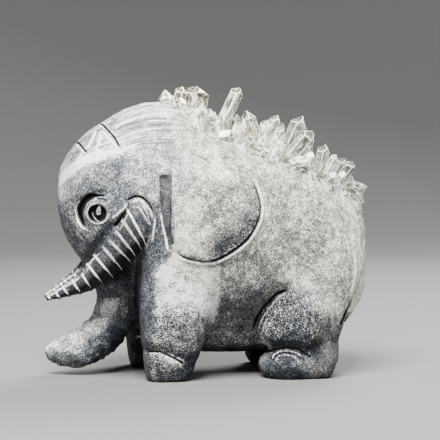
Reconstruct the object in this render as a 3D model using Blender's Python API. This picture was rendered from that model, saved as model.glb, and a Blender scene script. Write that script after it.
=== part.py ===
"""Stone elephant carved from one block, with the quartz points of the block left standing on its back.

The head points to -X, its left side to -Y, and +Z is up. The origin is on the ground, at the middle of
the overall box. Every coordinate of the figure below is written in millimetres at the real size of
109 mm from tusk tip to tail, and follows FIGURE_LENGTH.
"""

import math
import random

import bmesh
import bpy
import numpy as np
from mathutils import Vector, noise
from mathutils.bvhtree import BVHTree

MM = 0.001

# The figure: all of its forms keep their proportions to its length
FIGURE_LENGTH = 109.0 * MM
UNIT = FIGURE_LENGTH / 109.0

# How finely the forms are merged, and how many faces the finished carving keeps
BLOCK_VOXEL = 1.0 * UNIT
BLOCK_SMOOTHING = 22
CARVING_VOXEL = 0.62 * UNIT
CARVING_SMOOTHING = 7
CARVING_FACES = 7000
SHARP_EDGE_DEGREES = 50.0

# The block: its side outline seen from -Y (x, z), and how far it swells to either side
BLOCK_OUTLINE = (
    (-18.0, 89.6), (-36.0, 82.0), (-46.0, 70.8), (-49.4, 57.4), (-46.0, 44.0), (-36.0, 31.5),
    (-24.0, 16.0), (-10.0, 8.0), (8.0, 6.6), (28.0, 7.6), (43.5, 15.0), (51.6, 29.0),
    (53.0, 45.0), (50.0, 57.5), (38.0, 67.0), (20.0, 74.6), (1.0, 82.4),
)
BLOCK_MIDDLE = (-1.0, 46.0)
BLOCK_HALF_WIDTH = 29.5 * UNIT
BLOCK_SQUARENESS = 2.5
BLOCK_SLICES = 33
# The belly draws in below this height, down to this share of the width, but less under the haunches
BELLY_FROM, BELLY_TO, BELLY_WIDTH_SHARE = 38.0 * UNIT, 10.0 * UNIT, 0.72
HAUNCH_FROM, HAUNCH_TO, HAUNCH_FILL = 12.0 * UNIT, 26.0 * UNIT, 0.75
# Under the tusks the chest is cut back, below this line in (x, z), down to this share of the width
CHEST_LINE = ((-24.0, 50.0), (-48.0, 28.0))
CHEST_DROP = 9.0 * UNIT
CHEST_FROM, CHEST_TO = -18.0 * UNIT, -27.0 * UNIT
CHEST_WIDTH_SHARE = 0.36

# Rounded masses that stand out of the block: (x, y, z), half sizes, tilt about Y in degrees.
# Each is given on the left side, and is repeated on the right one.
MASSES = {
    "brow": ((-31.0, -12.0, 62.0), (15.5, 11.0, 15.0), 20.0),
    "cheek": ((-25.0, -14.0, 54.0), (10.0, 11.5, 10.0), 0.0),
    "shoulder": ((-12.5, -19.0, 38.0), (12.0, 10.0, 18.0), 0.0),
    "flank": ((8.0, -15.0, 46.0), (27.0, 15.0, 27.0), 0.0),
    "rump": ((29.0, -14.0, 36.0), (21.0, 13.4, 22.0), 0.0),
    "thigh": ((29.0, -17.5, 18.5), (15.4, 10.4, 13.2), 22.0),
}

# Legs: (x, y, z) of the middle line from top to sole, with half length and half width at each
LEG_SQUARENESS = 3.0
FORE_LEG = (
    ((-12.6, -18.0, 40.0), 10.4, 9.4),
    ((-12.8, -18.4, 27.0), 11.8, 10.0),
    ((-13.0, -18.2, 18.0), 11.0, 9.8),
    ((-13.8, -17.6, 10.0), 9.5, 9.2),
    ((-14.8, -17.0, 3.0), 7.7, 8.4),
    ((-15.2, -17.0, -1.0), 6.2, 7.2),
)
HIND_SHANK = (
    ((33.5, -16.5, 20.0), 8.0, 9.0),
    ((34.0, -17.0, 10.0), 8.0, 8.8),
    ((32.6, -17.0, 3.0), 7.4, 8.0),
    ((31.0, -17.0, -1.0), 6.2, 7.0),
)
HIND_FOOT = ((25.0, -17.2, 3.6), (10.6, 8.9, 6.4), -4.0)
RIGHT_FORE_LEG_FORWARD = 2.0 * UNIT
RIGHT_HIND_LEG_BACK = 1.5 * UNIT

# Trunk, tusks and tail: (x, y, z) of the middle line, and its radius
TRUNK = (
    ((-35.0, 0.0, 50.0), 12.0),
    ((-31.5, 0.0, 38.0), 9.6),
    ((-29.6, 0.0, 28.0), 7.4),
    ((-30.8, 0.0, 19.0), 6.9),
    ((-35.6, 0.0, 12.0), 6.8),
    ((-41.5, 0.0, 8.6), 6.6),
    ((-47.0, 0.0, 7.6), 5.4),
    ((-51.0, 0.0, 7.4), 3.0),
)
TUSK = (
    ((-24.3, -25.0, 54.9), 3.6),
    ((-26.3, -24.2, 48.0), 4.3),
    ((-29.9, -20.6, 42.4), 4.4),
    ((-35.4, -15.2, 36.2), 4.2),
    ((-40.3, -9.8, 31.7), 3.5),
    ((-45.7, -6.8, 28.8), 2.3),
    ((-49.9, -5.4, 26.7), 1.3),
    ((-52.8, -4.6, 25.7), 0.6),
)
TAIL = (
    ((50.6, 0.0, 52.0), 2.4),
    ((51.2, 0.0, 44.0), 3.0),
    ((51.8, 0.0, 35.0), 3.2),
    ((51.2, 0.0, 26.5), 3.0),
    ((48.4, 0.0, 19.0), 2.5),
    ((45.8, 0.0, 14.4), 1.2),
)
# The ribs are filed straight across, seen from the side: the upper and lower end (x, z) of each
TUSK_RIBS = (
    ((-27.7, 52.7), (-24.2, 46.1)),
    ((-29.4, 50.1), (-24.8, 42.8)),
    ((-31.4, 46.9), (-26.8, 40.8)),
    ((-33.9, 44.7), (-28.9, 39.5)),
    ((-35.7, 42.5), (-30.6, 36.1)),
    ((-37.8, 39.3), (-33.3, 33.6)),
    ((-40.3, 36.8), (-35.7, 30.7)),
    ((-42.5, 34.4), (-39.6, 29.6)),
    ((-45.3, 31.9), (-43.1, 28.5)),
    ((-48.1, 29.5), (-46.3, 26.9)),
    ((-50.5, 28.0), (-49.2, 26.1)),
)
TUSK_RIB_HEIGHT = 0.45 * UNIT
# A rib is flat to the first distance from its middle, and gone at the second
TUSK_RIB_FLAT, TUSK_RIB_FOOT = 0.3 * UNIT, 1.0 * UNIT
TUSK_SMOOTH_ROOT, TUSK_RIBS_FROM = 0.1, 0.16

# Carving seen from either side: outlines in (x, z). It is cut where the stone lies this far from the middle
CARVED_SIDE_FROM, CARVED_SIDE_TO = 9.0 * UNIT, 12.0 * UNIT
CUT_EDGE = 0.5 * UNIT
EAR_OUTLINE = (
    (-14.8, 66.0), (-15.2, 55.0), (-15.0, 46.0), (-14.0, 42.4), (-11.3, 40.0), (-4.6, 38.2),
    (4.2, 40.0), (9.8, 45.0), (12.9, 54.0), (11.6, 63.0), (5.0, 70.5), (-6.0, 73.0),
)
EAR_HEIGHT = 1.5 * UNIT
EAR_FADE_FROM, EAR_FADE_TO = 60.0 * UNIT, 72.0 * UNIT
EAR_SLOT = ((-16.8, 63.4), (-16.7, 54.0), (-15.6, 44.0))
EAR_SLOT_HALF_WIDTH = 1.6 * UNIT
EAR_SLOT_DEPTH = 1.1 * UNIT
EYE = (-37.4, 53.6)
EYEBALL_RADIUS = 4.6 * UNIT
EYEBALL_HEIGHT = 1.1 * UNIT
PUPIL_RADIUS = 2.8 * UNIT
PUPIL_DEPTH = 1.2 * UNIT
EYELID_RADIUS = 6.3 * UNIT
EYELID_DEPTH = 1.7 * UNIT
EYELID_HALF_WIDTH = 1.3 * UNIT
# The lid's fold lies in front of the eye: round this angle, full to the first spread and gone at the next
EYELID_MIDDLE_DEGREES = 150.0
EYELID_FULL_DEGREES, EYELID_END_DEGREES = 60.0, 100.0
CHEEK_ARCH = ((-29.4, 55.6), (-27.4, 58.2), (-25.0, 58.8), (-22.4, 57.4), (-20.8, 54.6), (-20.4, 50.0))
CHEEK_ARCH_DEPTH, CHEEK_ARCH_HALF_WIDTH = 0.7 * UNIT, 1.1 * UNIT
TUSK_FOLD = ((-27.2, 56.2), (-31.0, 52.0), (-34.8, 47.4), (-38.6, 42.4), (-41.6, 38.6))
TUSK_FOLD_DEPTH, TUSK_FOLD_HALF_WIDTH = 1.4 * UNIT, 1.8 * UNIT
HAIR_FRINGE = (
    (-48.0, 64.4), (-43.4, 68.1), (-39.5, 69.8), (-34.8, 71.6), (-29.8, 73.3), (-22.7, 75.3),
    (-10.0, 75.5),
)
HAIR_HEIGHT = 0.7 * UNIT
# The cap of hair fades out over this height above the fringe, and over this stretch towards the back
HAIR_FADE_FROM, HAIR_FADE_TO = 2.0 * UNIT, 12.0 * UNIT
HAIR_BACK_FROM, HAIR_BACK_TO = -26.0 * UNIT, -8.0 * UNIT
FOOT_FOLD_DEPTH = 1.0 * UNIT
FORE_FOOT_FOLD = ((-24.5, 9.6), (-17.0, 10.2), (-12.0, 7.6), (-6.0, 4.8))
FORE_FOOT_FOLD_HALF_WIDTH = 1.3 * UNIT
HIND_FOOT_FOLD = ((13.0, 7.6), (19.0, 10.4), (25.0, 10.6), (33.0, 8.2))
HIND_FOOT_FOLD_HALF_WIDTH = 1.6 * UNIT
THIGH_FOLD = ((24.0, 31.0), (18.0, 26.0), (14.4, 19.4), (13.6, 12.0))
THIGH_FOLD_DEPTH, THIGH_FOLD_HALF_WIDTH = 1.6 * UNIT, 2.2 * UNIT

# The bed on the back where the quartz stands: its ridge line in (x, z) and half widths along it
BED_RIDGE = (
    (-19.0, 89.0), (-6.0, 85.4), (8.0, 79.6), (22.0, 73.8), (36.0, 67.8), (48.0, 59.6), (52.6, 52.0),
)
BED_HALF_WIDTHS = (6.0, 15.0, 18.0, 18.0, 17.0, 14.0, 8.0)
BED_ROUGHNESS = 0.7 * UNIT
BED_LUMP_SIZE = 4.5 * UNIT
# Its broken ground fades out across its edge, below its ridge, and at its front end
BED_EDGE_INSIDE, BED_EDGE_OUTSIDE = 2.0 * UNIT, 1.5 * UNIT
BED_DEPTH_FROM, BED_DEPTH_TO = 12.0 * UNIT, 7.0 * UNIT
BED_FRONT_FROM, BED_FRONT_TO = -19.0 * UNIT, -14.0 * UNIT

# Quartz: the clearance to the stone and between points, and how a point is shaped.
# The faces of its tip lean this much from its own long axis, the main three less far out than the rest.
QUARTZ_CLEARANCE = 0.3 * MM
QUARTZ_TAPER = 0.9
TIP_FACE_LEAN = 38.2
TIP_FACE_SPREAD = 0.45
# The broad smoky chunk at the crown is broken off bluntly instead
BLUNT_POINT = "crown_02"
BLUNT_FACE_LEAN = 60.0
ROOT_DEPTH = 4.0 * UNIT
STONE_REACH = 2.2 * UNIT
LYING_SHARE = 0.6

# The points that stand out: where each is rooted in the stone (x, y), how far its tip lies from there along
# X, Y and Z, and its half thickness
TALL_POINTS = {
    "crown_01": ((-13.4, -1.0), (-0.6, -0.6, 4.2), 2.9),
    "crown_02": ((-5.0, 2.4), (1.6, 0.0, 9.6), 5.2),
    "crown_03": ((-1.6, 10.2), (1.4, 0.8, 7.6), 2.6),
    "crown_04": ((-9.4, -9.6), (-1.2, -1.0, 3.6), 2.2),
    "crown_05": ((-5.0, -15.4), (1.6, -0.6, 6.6), 2.7),
    "crown_06": ((-0.8, -9.6), (0.4, -1.0, 4.7), 2.1),
    "back_01": ((4.2, -5.4), (6.2, 1.4, 12.9), 2.3),
    "back_02": ((8.8, -9.8), (2.0, -0.8, 5.6), 2.3),
    "back_03": ((4.2, -16.4), (1.2, -1.6, 1.7), 1.9),
    "back_04": ((16.4, -2.6), (-3.4, -1.0, 10.3), 2.4),
    "back_05": ((17.6, -8.0), (1.3, -0.4, 8.4), 2.0),
    "back_06": ((20.8, 4.4), (4.4, 0.6, 11.3), 2.1),
    "back_07": ((25.4, 8.4), (2.4, 1.2, 11.2), 1.5),
    "back_08": ((22.6, -0.4), (3.2, -0.2, 7.6), 1.8),
    "back_09": ((14.8, -15.0), (-4.4, -2.4, 3.7), 1.8),
    "back_10": ((20.2, -15.6), (2.8, -0.6, 6.2), 2.3),
    "back_11": ((27.4, 1.8), (5.8, 0.2, 13.0), 2.9),
    "back_12": ((26.6, -10.4), (7.3, -0.2, 8.6), 2.7),
    "back_13": ((25.6, -16.6), (3.6, -2.4, 1.9), 1.7),
    "back_14": ((31.2, -14.4), (1.2, -1.0, 4.9), 1.6),
    "back_15": ((34.6, -15.8), (1.2, -1.8, 4.2), 1.4),
    "back_16": ((37.6, -5.0), (1.6, -0.4, 8.7), 2.2),
    "rump_01": ((41.8, -6.4), (4.0, -0.6, 5.9), 1.9),
    "rump_02": ((44.8, 0.2), (5.6, 0.2, 6.9), 1.8),
    "rump_03": ((45.8, -9.6), (5.0, -1.4, 1.3), 2.3),
    "rump_04": ((48.6, -4.0), (3.6, -0.4, -1.8), 1.9),
    "rump_05": ((38.2, -14.8), (2.0, -2.4, 2.2), 1.4),
    "rump_06": ((41.6, -12.4), (2.4, -1.8, 3.9), 1.5),
}
# The smaller points between them, strewn over the bed
SMALL_POINT_TRIES = 400
SMALL_POINT_COUNT = 30
SMALL_POINT_LENGTHS = (4.0 * UNIT, 7.6 * UNIT)
SMALL_POINT_HALF_WIDTHS = (1.4 * UNIT, 2.3 * UNIT)
SMALL_POINT_SPACING = 0.2 * UNIT
SMALL_POINT_LEAN = 0.35
SMALL_POINT_STRETCH = (-14.0 * UNIT, 49.0 * UNIT)
SMALL_POINT_BED_SHARE = 0.92
SMALL_POINT_SEED = 7

STONE_GREY = (0.33, 0.34, 0.36, 1.0)
QUARTZ_WHITE = (0.86, 0.85, 0.80, 1.0)


def clear_scene():
    for old in list(bpy.data.objects):
        bpy.data.objects.remove(old, do_unlink=True)


def material(name, colour, roughness, transmission=0.0):
    """A Principled BSDF with plain values."""
    made = bpy.data.materials.new(name)
    made.use_nodes = True
    shader = made.node_tree.nodes["Principled BSDF"]
    shader.inputs["Base Color"].default_value = colour
    shader.inputs["Roughness"].default_value = roughness
    shader.inputs["Transmission Weight"].default_value = transmission
    made.diffuse_color = colour
    return made


def smooth_curve(points, steps, closed=False):
    """Points along a Catmull-Rom curve through the given ones, with steps to each stretch."""
    points = np.array(points, float)
    count = len(points)
    stretches = count if closed else count - 1
    found = []
    for i in range(stretches):
        picks = (i - 1, i, i + 1, i + 2)
        a, b, c, d = (points[k % count] if closed else points[min(max(k, 0), count - 1)] for k in picks)
        for t in np.arange(steps) / steps:
            bend = (2 * a - 5 * b + 4 * c - d) * t**2 + (3 * b - a - 3 * c + d) * t**3
            found.append(0.5 * (2 * b + (c - a) * t + bend))
    if not closed:
        found.append(points[-1])
    return np.array(found)


def loft(rings):
    """A closed bmesh through rings of points, each with the same count, with its two ends filled."""
    made = bmesh.new()
    loops = [[made.verts.new(point) for point in ring] for ring in rings]
    for low, high in zip(loops, loops[1:]):
        for k, vert in enumerate(low):
            following = (k + 1) % len(low)
            made.faces.new((vert, low[following], high[following], high[k]))
    made.faces.new(reversed(loops[0]))
    made.faces.new(loops[-1])
    bmesh.ops.recalc_face_normals(made, faces=made.faces)
    return made


def block():
    """The main mass: slices across Y, each the side outline drawn in towards its middle."""
    outline = smooth_curve(BLOCK_OUTLINE, 5, closed=True) * UNIT
    middle = np.array(BLOCK_MIDDLE) * UNIT
    rings = []
    for share in np.sin(np.linspace(-0.5 * math.pi, 0.5 * math.pi, BLOCK_SLICES)) * 0.998:
        drawn_in = (1.0 - abs(share) ** BLOCK_SQUARENESS) ** (1.0 / BLOCK_SQUARENESS)
        slice_points = middle + (outline - middle) * drawn_in
        widths = share * BLOCK_HALF_WIDTH * block_width_share(slice_points)
        rings.append([(x, y, z) for (x, z), y in zip(slice_points, widths)])
    return loft(rings)


def block_width_share(side):
    """How wide the block is at each (x, z): it narrows at the belly, and in the hollow below the tusks."""
    belly = ease(side[:, 1], BELLY_TO, BELLY_FROM)
    belly = np.maximum(belly, HAUNCH_FILL * ease(side[:, 0], HAUNCH_FROM, HAUNCH_TO))
    share = BELLY_WIDTH_SHARE + (1.0 - BELLY_WIDTH_SHARE) * belly
    start, end = np.array(CHEST_LINE) * UNIT
    along = (end - start) / np.linalg.norm(end - start)
    below = (side - start) @ np.array((-along[1], along[0]))
    hollow = ease(below, 0.0, CHEST_DROP) * (1.0 - ease(side[:, 0], CHEST_TO, CHEST_FROM))
    return share * (1.0 - hollow) + CHEST_WIDTH_SHARE * hollow


def ellipsoid(centre, half_sizes, tilt_degrees):
    made = bmesh.new()
    bmesh.ops.create_icosphere(made, subdivisions=4, radius=1.0)
    tilt = math.radians(tilt_degrees)
    for vert in made.verts:
        x, y, z = (value * half for value, half in zip(vert.co, half_sizes))
        along = x * math.cos(tilt) - z * math.sin(tilt)
        upwards = x * math.sin(tilt) + z * math.cos(tilt)
        vert.co = (Vector((along, y, upwards)) + Vector(centre)) * UNIT
    return made


def leg(stations):
    """A column of oval rings; every station is (middle, half length along X, half width along Y)."""
    middles = smooth_curve([station[0] for station in stations], 4)
    halves = smooth_curve([station[1:] for station in stations], 4)
    turns = np.linspace(0.0, 2.0 * math.pi, 24, endpoint=False)
    rings = []
    for (x, y, z), (half_x, half_y) in zip(middles, halves):
        ring = []
        for t in turns:
            fullness = abs(math.cos(t)) ** LEG_SQUARENESS + abs(math.sin(t)) ** LEG_SQUARENESS
            reach = fullness ** (-1.0 / LEG_SQUARENESS)
            spot = (x + half_x * reach * math.cos(t), y + half_y * reach * math.sin(t), z)
            ring.append([value * UNIT for value in spot])
        rings.append(ring)
    return loft(rings)


def swept(stations, width_share=1.0):
    """A round bar along a smooth middle line, with rounded ends; width_share narrows it along Y."""
    path = smooth_curve([station[0] for station in stations], 6) * UNIT
    radii = smooth_curve([(station[1],) for station in stations], 6)[:, 0] * UNIT
    turns = np.linspace(0.0, 2.0 * math.pi, 20, endpoint=False)
    tangents = np.gradient(path, axis=0)
    tangents /= np.linalg.norm(tangents, axis=1)[:, None]
    rings = []
    sideways = np.array((0.0, 1.0, 0.0))

    def ring(middle, tangent, radius):
        across = np.cross(tangent, sideways)
        across /= np.linalg.norm(across)
        flat = np.cross(across, tangent)
        return [
            middle + radius * (math.cos(t) * across + width_share * math.sin(t) * flat)
            for t in turns
        ]

    cap_angles = np.radians((80.0, 55.0, 28.0))
    for angle in cap_angles:
        centre = path[0] - tangents[0] * radii[0] * math.sin(angle)
        rings.append(ring(centre, tangents[0], radii[0] * math.cos(angle)))
    rings += [ring(m, t, r) for m, t, r in zip(path, tangents, radii)]
    for angle in reversed(cap_angles):
        centre = path[-1] + tangents[-1] * radii[-1] * math.sin(angle)
        rings.append(ring(centre, tangents[-1], radii[-1] * math.cos(angle)))
    return loft(rings)


def merged(name, forms, voxel, smoothing):
    """One closed mesh from overlapping closed forms, with the joints between them softened."""
    whole = bmesh.new()
    for form in forms:
        mesh = bpy.data.meshes.new(name)
        form.to_mesh(mesh)
        form.free()
        whole.from_mesh(mesh)
        bpy.data.meshes.remove(mesh)
    mesh = bpy.data.meshes.new(name)
    whole.to_mesh(mesh)
    whole.free()
    maker = bpy.data.objects.new(name, mesh)
    bpy.context.scene.collection.objects.link(maker)
    remesh = maker.modifiers.new("merge", "REMESH")
    remesh.mode = "VOXEL"
    remesh.voxel_size = voxel
    if smoothing:
        soften = maker.modifiers.new("soften", "SMOOTH")
        soften.factor = 0.5
        soften.iterations = smoothing
    result = evaluated_mesh(maker)
    bpy.data.objects.remove(maker)
    made = bmesh.new()
    made.from_mesh(result)
    bpy.data.meshes.remove(result)
    return made


def evaluated_mesh(obj):
    bpy.context.view_layer.update()
    graph = bpy.context.evaluated_depsgraph_get()
    return bpy.data.meshes.new_from_object(obj.evaluated_get(graph), depsgraph=graph)


def both_sides(maker, *arguments):
    """The form made for the left side, and its mirror image for the right side."""
    left = maker(*arguments)
    right = maker(*arguments)
    for vert in right.verts:
        vert.co.y = -vert.co.y
    bmesh.ops.reverse_faces(right, faces=right.faces)
    return [left, right]


def body_forms():
    """The block with the masses that swell out of it."""
    forms = [block()]
    for centre, half_sizes, tilt in MASSES.values():
        forms += both_sides(ellipsoid, centre, half_sizes, tilt)
    return forms


def limb_forms():
    """Legs and feet, trunk, tusks and tail."""
    forms = both_sides(leg, FORE_LEG)
    bmesh.ops.translate(forms[1], verts=forms[1].verts, vec=(-RIGHT_FORE_LEG_FORWARD, 0.0, 0.0))
    for pair in (both_sides(leg, HIND_SHANK), both_sides(ellipsoid, *HIND_FOOT)):
        bmesh.ops.translate(pair[1], verts=pair[1].verts, vec=(RIGHT_HIND_LEG_BACK, 0.0, 0.0))
        forms += pair
    forms.append(swept(TRUNK, 0.95))
    forms.append(swept(TAIL))
    forms += both_sides(swept, TUSK)
    return forms


def distance_to_line(points, line):
    """Distance of each (x, z) to a polyline, and the share of its length where the nearest point lies."""
    line = np.array(line, float)
    lengths = np.linalg.norm(np.diff(line, axis=0), axis=1)
    starts = np.concatenate(([0.0], np.cumsum(lengths)))
    best = np.full(len(points), 1e9)
    along = np.zeros(len(points))
    for i, (a, b) in enumerate(zip(line, line[1:])):
        step = b - a
        t = np.clip((points - a) @ step / max(step @ step, 1e-18), 0.0, 1.0)
        gap = np.linalg.norm(points - (a + t[:, None] * step), axis=1)
        nearer = gap < best
        best[nearer] = gap[nearer]
        along[nearer] = ((starts[i] + t * lengths[i]) / starts[-1])[nearer]
    return best, along


def inside_outline(points, outline):
    """Which (x, z) lie inside a closed outline."""
    inside = np.zeros(len(points), bool)
    for (x1, z1), (x2, z2) in zip(outline, np.roll(outline, -1, axis=0)):
        crosses = (z1 > points[:, 1]) != (z2 > points[:, 1])
        reach = (x2 - x1) * (points[:, 1] - z1) / np.where(z2 == z1, 1e-18, z2 - z1) + x1
        inside ^= crosses & (points[:, 0] < reach)
    return inside


def ease(value, start, end):
    """0 before start, 1 after end, and a smooth rise between them."""
    t = np.clip((value - start) / (end - start), 0.0, 1.0)
    return t * t * (3.0 - 2.0 * t)


def ear_relief(side, facing):
    """The flap raised by its thickness, fading out upwards into the back, and the slot before it."""
    outline = smooth_curve(EAR_OUTLINE, 4, closed=True) * UNIT
    edge, _ = distance_to_line(side, np.vstack((outline, outline[:1])))
    signed = np.where(inside_outline(side, outline), edge, -edge)
    flap = ease(signed, -CUT_EDGE, CUT_EDGE) * (1.0 - ease(side[:, 1], EAR_FADE_FROM, EAR_FADE_TO))
    slot, _ = distance_to_line(side, smooth_curve(EAR_SLOT, 4) * UNIT)
    sunk = 1.0 - ease(slot, EAR_SLOT_HALF_WIDTH - CUT_EDGE, EAR_SLOT_HALF_WIDTH + CUT_EDGE)
    return (flap * EAR_HEIGHT - sunk * EAR_SLOT_DEPTH) * facing


def eye_relief(side, facing):
    """A domed eyeball with a sunk pupil, inside the deep fold of the lid, which opens to the back."""
    offset = side - np.array(EYE) * UNIT
    away = np.linalg.norm(offset, axis=1)
    ball = EYEBALL_HEIGHT * (1.0 - ease(away, 0.4 * EYEBALL_RADIUS, EYEBALL_RADIUS))
    pupil = PUPIL_DEPTH * (1.0 - ease(away, PUPIL_RADIUS - CUT_EDGE, PUPIL_RADIUS + 0.5 * CUT_EDGE))
    angle = np.degrees(np.arctan2(offset[:, 1], offset[:, 0]))
    fold = 1.0 - ease(np.abs(away - EYELID_RADIUS), 0.2 * EYELID_HALF_WIDTH, EYELID_HALF_WIDTH)
    turned = np.abs((angle - EYELID_MIDDLE_DEGREES + 180.0) % 360.0 - 180.0)
    forward = 1.0 - ease(turned, EYELID_FULL_DEGREES, EYELID_END_DEGREES)
    return (ball - pupil - EYELID_DEPTH * fold * forward) * facing


def fold_relief(side, line, depth, half_width):
    gap, along = distance_to_line(side, smooth_curve(line, 4) * UNIT)
    ends = ease(along, 0.0, 0.12) * (1.0 - ease(along, 0.88, 1.0))
    return -depth * (1.0 - ease(gap, 0.2 * half_width, half_width)) * ends


def hair_relief(side, points):
    """The cap of hair stands over the face along its fringe, and fades out towards the crown."""
    line = smooth_curve(HAIR_FRINGE, 4) * UNIT
    fringe = np.interp(side[:, 0], line[:, 0], line[:, 1])
    above = side[:, 1] - fringe
    lifted = ease(above, -CUT_EDGE, CUT_EDGE) * (1.0 - ease(above, HAIR_FADE_FROM, HAIR_FADE_TO))
    on_head = 1.0 - ease(points[:, 0], HAIR_BACK_FROM, HAIR_BACK_TO)
    return lifted * on_head * HAIR_HEIGHT


def tusk_relief(points):
    """Ribs across each tusk."""
    path = smooth_curve([station[0] for station in TUSK], 6) * UNIT
    radii = smooth_curve([(station[1],) for station in TUSK], 6)[:, 0] * UNIT
    folded = points.copy()
    folded[:, 1] = -np.abs(folded[:, 1])
    gap, along = distance_to_line(folded, path)
    radius = np.interp(along, np.linspace(0.0, 1.0, len(radii)), radii)
    on_tusk = 1.0 - ease(gap - radius, 0.5 * CUT_EDGE, 2.0 * CUT_EDGE)
    on_tusk *= ease(along, TUSK_SMOOTH_ROOT, TUSK_RIBS_FROM)
    away = np.full(len(points), 1e9)
    for upper, lower in np.array(TUSK_RIBS) * UNIT:
        across = (lower - upper) / np.linalg.norm(lower - upper)
        offset = points[:, [0, 2]] - upper
        away = np.minimum(away, np.abs(offset[:, 0] * across[1] - offset[:, 1] * across[0]))
    return on_tusk * (1.0 - ease(away, TUSK_RIB_FLAT, TUSK_RIB_FOOT)) * TUSK_RIB_HEIGHT


def bed_relief(points):
    """Broken, lumpy ground under the quartz."""
    ridge = smooth_curve(BED_RIDGE, 4) * UNIT
    widths = smooth_curve([(width,) for width in BED_HALF_WIDTHS], 4)[:, 0] * UNIT
    half_width = np.interp(points[:, 0], ridge[:, 0], widths)
    top = np.interp(points[:, 0], ridge[:, 0], ridge[:, 1])
    on_bed = 1.0 - ease(np.abs(points[:, 1]), half_width - BED_EDGE_INSIDE, half_width + BED_EDGE_OUTSIDE)
    on_bed *= ease(points[:, 2], top - BED_DEPTH_FROM, top - BED_DEPTH_TO)
    on_bed *= ease(points[:, 0], BED_FRONT_FROM, BED_FRONT_TO)
    lumps = np.array([noise.noise(Vector(point) / BED_LUMP_SIZE) for point in points])
    return on_bed * (0.5 + lumps) * BED_ROUGHNESS


def carve(figure):
    """Moves the points of the merged figure in or out along their normals, as the carver's tools did."""
    figure.normal_update()
    figure.verts.ensure_lookup_table()
    points = np.array([vert.co for vert in figure.verts])
    normals = np.array([vert.normal for vert in figure.verts])
    side = points[:, [0, 2]]
    facing = ease(np.abs(normals[:, 1]), 0.15, 0.5)
    outer = ease(np.abs(points[:, 1]), CARVED_SIDE_FROM, CARVED_SIDE_TO)
    relief = ear_relief(side, facing * outer)
    relief += eye_relief(side, ease(np.abs(normals[:, 1]), 0.1, 0.3) * outer)
    relief += fold_relief(side, FORE_FOOT_FOLD, FOOT_FOLD_DEPTH, FORE_FOOT_FOLD_HALF_WIDTH) * outer
    relief += fold_relief(side, HIND_FOOT_FOLD, FOOT_FOLD_DEPTH, HIND_FOOT_FOLD_HALF_WIDTH) * outer
    relief += fold_relief(side, THIGH_FOLD, THIGH_FOLD_DEPTH, THIGH_FOLD_HALF_WIDTH) * facing * outer
    relief += fold_relief(side, CHEEK_ARCH, CHEEK_ARCH_DEPTH, CHEEK_ARCH_HALF_WIDTH) * facing * outer
    relief += fold_relief(side, TUSK_FOLD, TUSK_FOLD_DEPTH, TUSK_FOLD_HALF_WIDTH) * facing * outer
    relief += hair_relief(side, points)
    relief += tusk_relief(points)
    relief += bed_relief(points)
    for vert, amount in zip(figure.verts, relief):
        vert.co += vert.normal * float(amount)


def cut_flat(figure, height):
    """Cuts off all below height and closes the cut, so that the four soles are flat."""
    everything = figure.verts[:] + figure.edges[:] + figure.faces[:]
    ground = Vector((0.0, 0.0, height))
    upwards = Vector((0.0, 0.0, 1.0))
    cut = bmesh.ops.bisect_plane(
        figure, geom=everything, dist=1e-7, plane_co=ground, plane_no=upwards, clear_inner=True
    )
    rim = [part for part in cut["geom_cut"] if isinstance(part, bmesh.types.BMEdge)]
    bmesh.ops.holes_fill(figure, edges=rim, sides=0)
    bmesh.ops.triangulate(figure, faces=figure.faces)


def simplified(figure, faces):
    """The same figure with about that many triangles."""
    mesh = bpy.data.meshes.new("carving")
    bmesh.ops.triangulate(figure, faces=figure.faces)
    share = faces / len(figure.faces)
    figure.to_mesh(mesh)
    figure.free()
    maker = bpy.data.objects.new("carving", mesh)
    bpy.context.scene.collection.objects.link(maker)
    thin = maker.modifiers.new("simplify", "DECIMATE")
    thin.ratio = share
    thin.use_collapse_triangulate = True
    result = evaluated_mesh(maker)
    bpy.data.objects.remove(maker)
    made = bmesh.new()
    made.from_mesh(result)
    bpy.data.meshes.remove(result)
    return made


def stone_elephant(finish, frame):
    """The whole carving is one piece of stone."""
    body = merged("body", body_forms(), BLOCK_VOXEL, BLOCK_SMOOTHING)
    figure = merged("figure", [body] + limb_forms(), CARVING_VOXEL, CARVING_SMOOTHING)
    carve(figure)
    figure = simplified(figure, CARVING_FACES)
    cut_flat(figure, 0.0)
    mesh = bpy.data.meshes.new("stone_elephant")
    figure.to_mesh(mesh)
    figure.free()
    mesh.shade_smooth()
    mesh.set_sharp_from_angle(angle=math.radians(SHARP_EDGE_DEGREES))
    mesh.materials.append(finish)
    made = bpy.data.objects.new("stone_elephant", mesh)
    bpy.context.scene.collection.objects.link(made)
    made.parent = frame
    return made


def direction_from(axis):
    """Two directions square to the axis and to each other."""
    across = axis.cross(Vector((0.0, 1.0, 0.0)))
    if across.length < 0.1:
        across = axis.cross(Vector((1.0, 0.0, 0.0)))
    across.normalize()
    return across, axis.cross(across)


def trim(solid, point, outward):
    """Cuts away what lies beyond a plane, and closes the cut with a flat face."""
    everything = solid.verts[:] + solid.edges[:] + solid.faces[:]
    cut = bmesh.ops.bisect_plane(
        solid, geom=everything, dist=1e-8, plane_co=point, plane_no=outward, clear_outer=True
    )
    rim = [part for part in cut["geom_cut"] if isinstance(part, bmesh.types.BMEdge) and part.is_boundary]
    if rim:
        bmesh.ops.contextual_create(solid, geom=rim)


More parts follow.
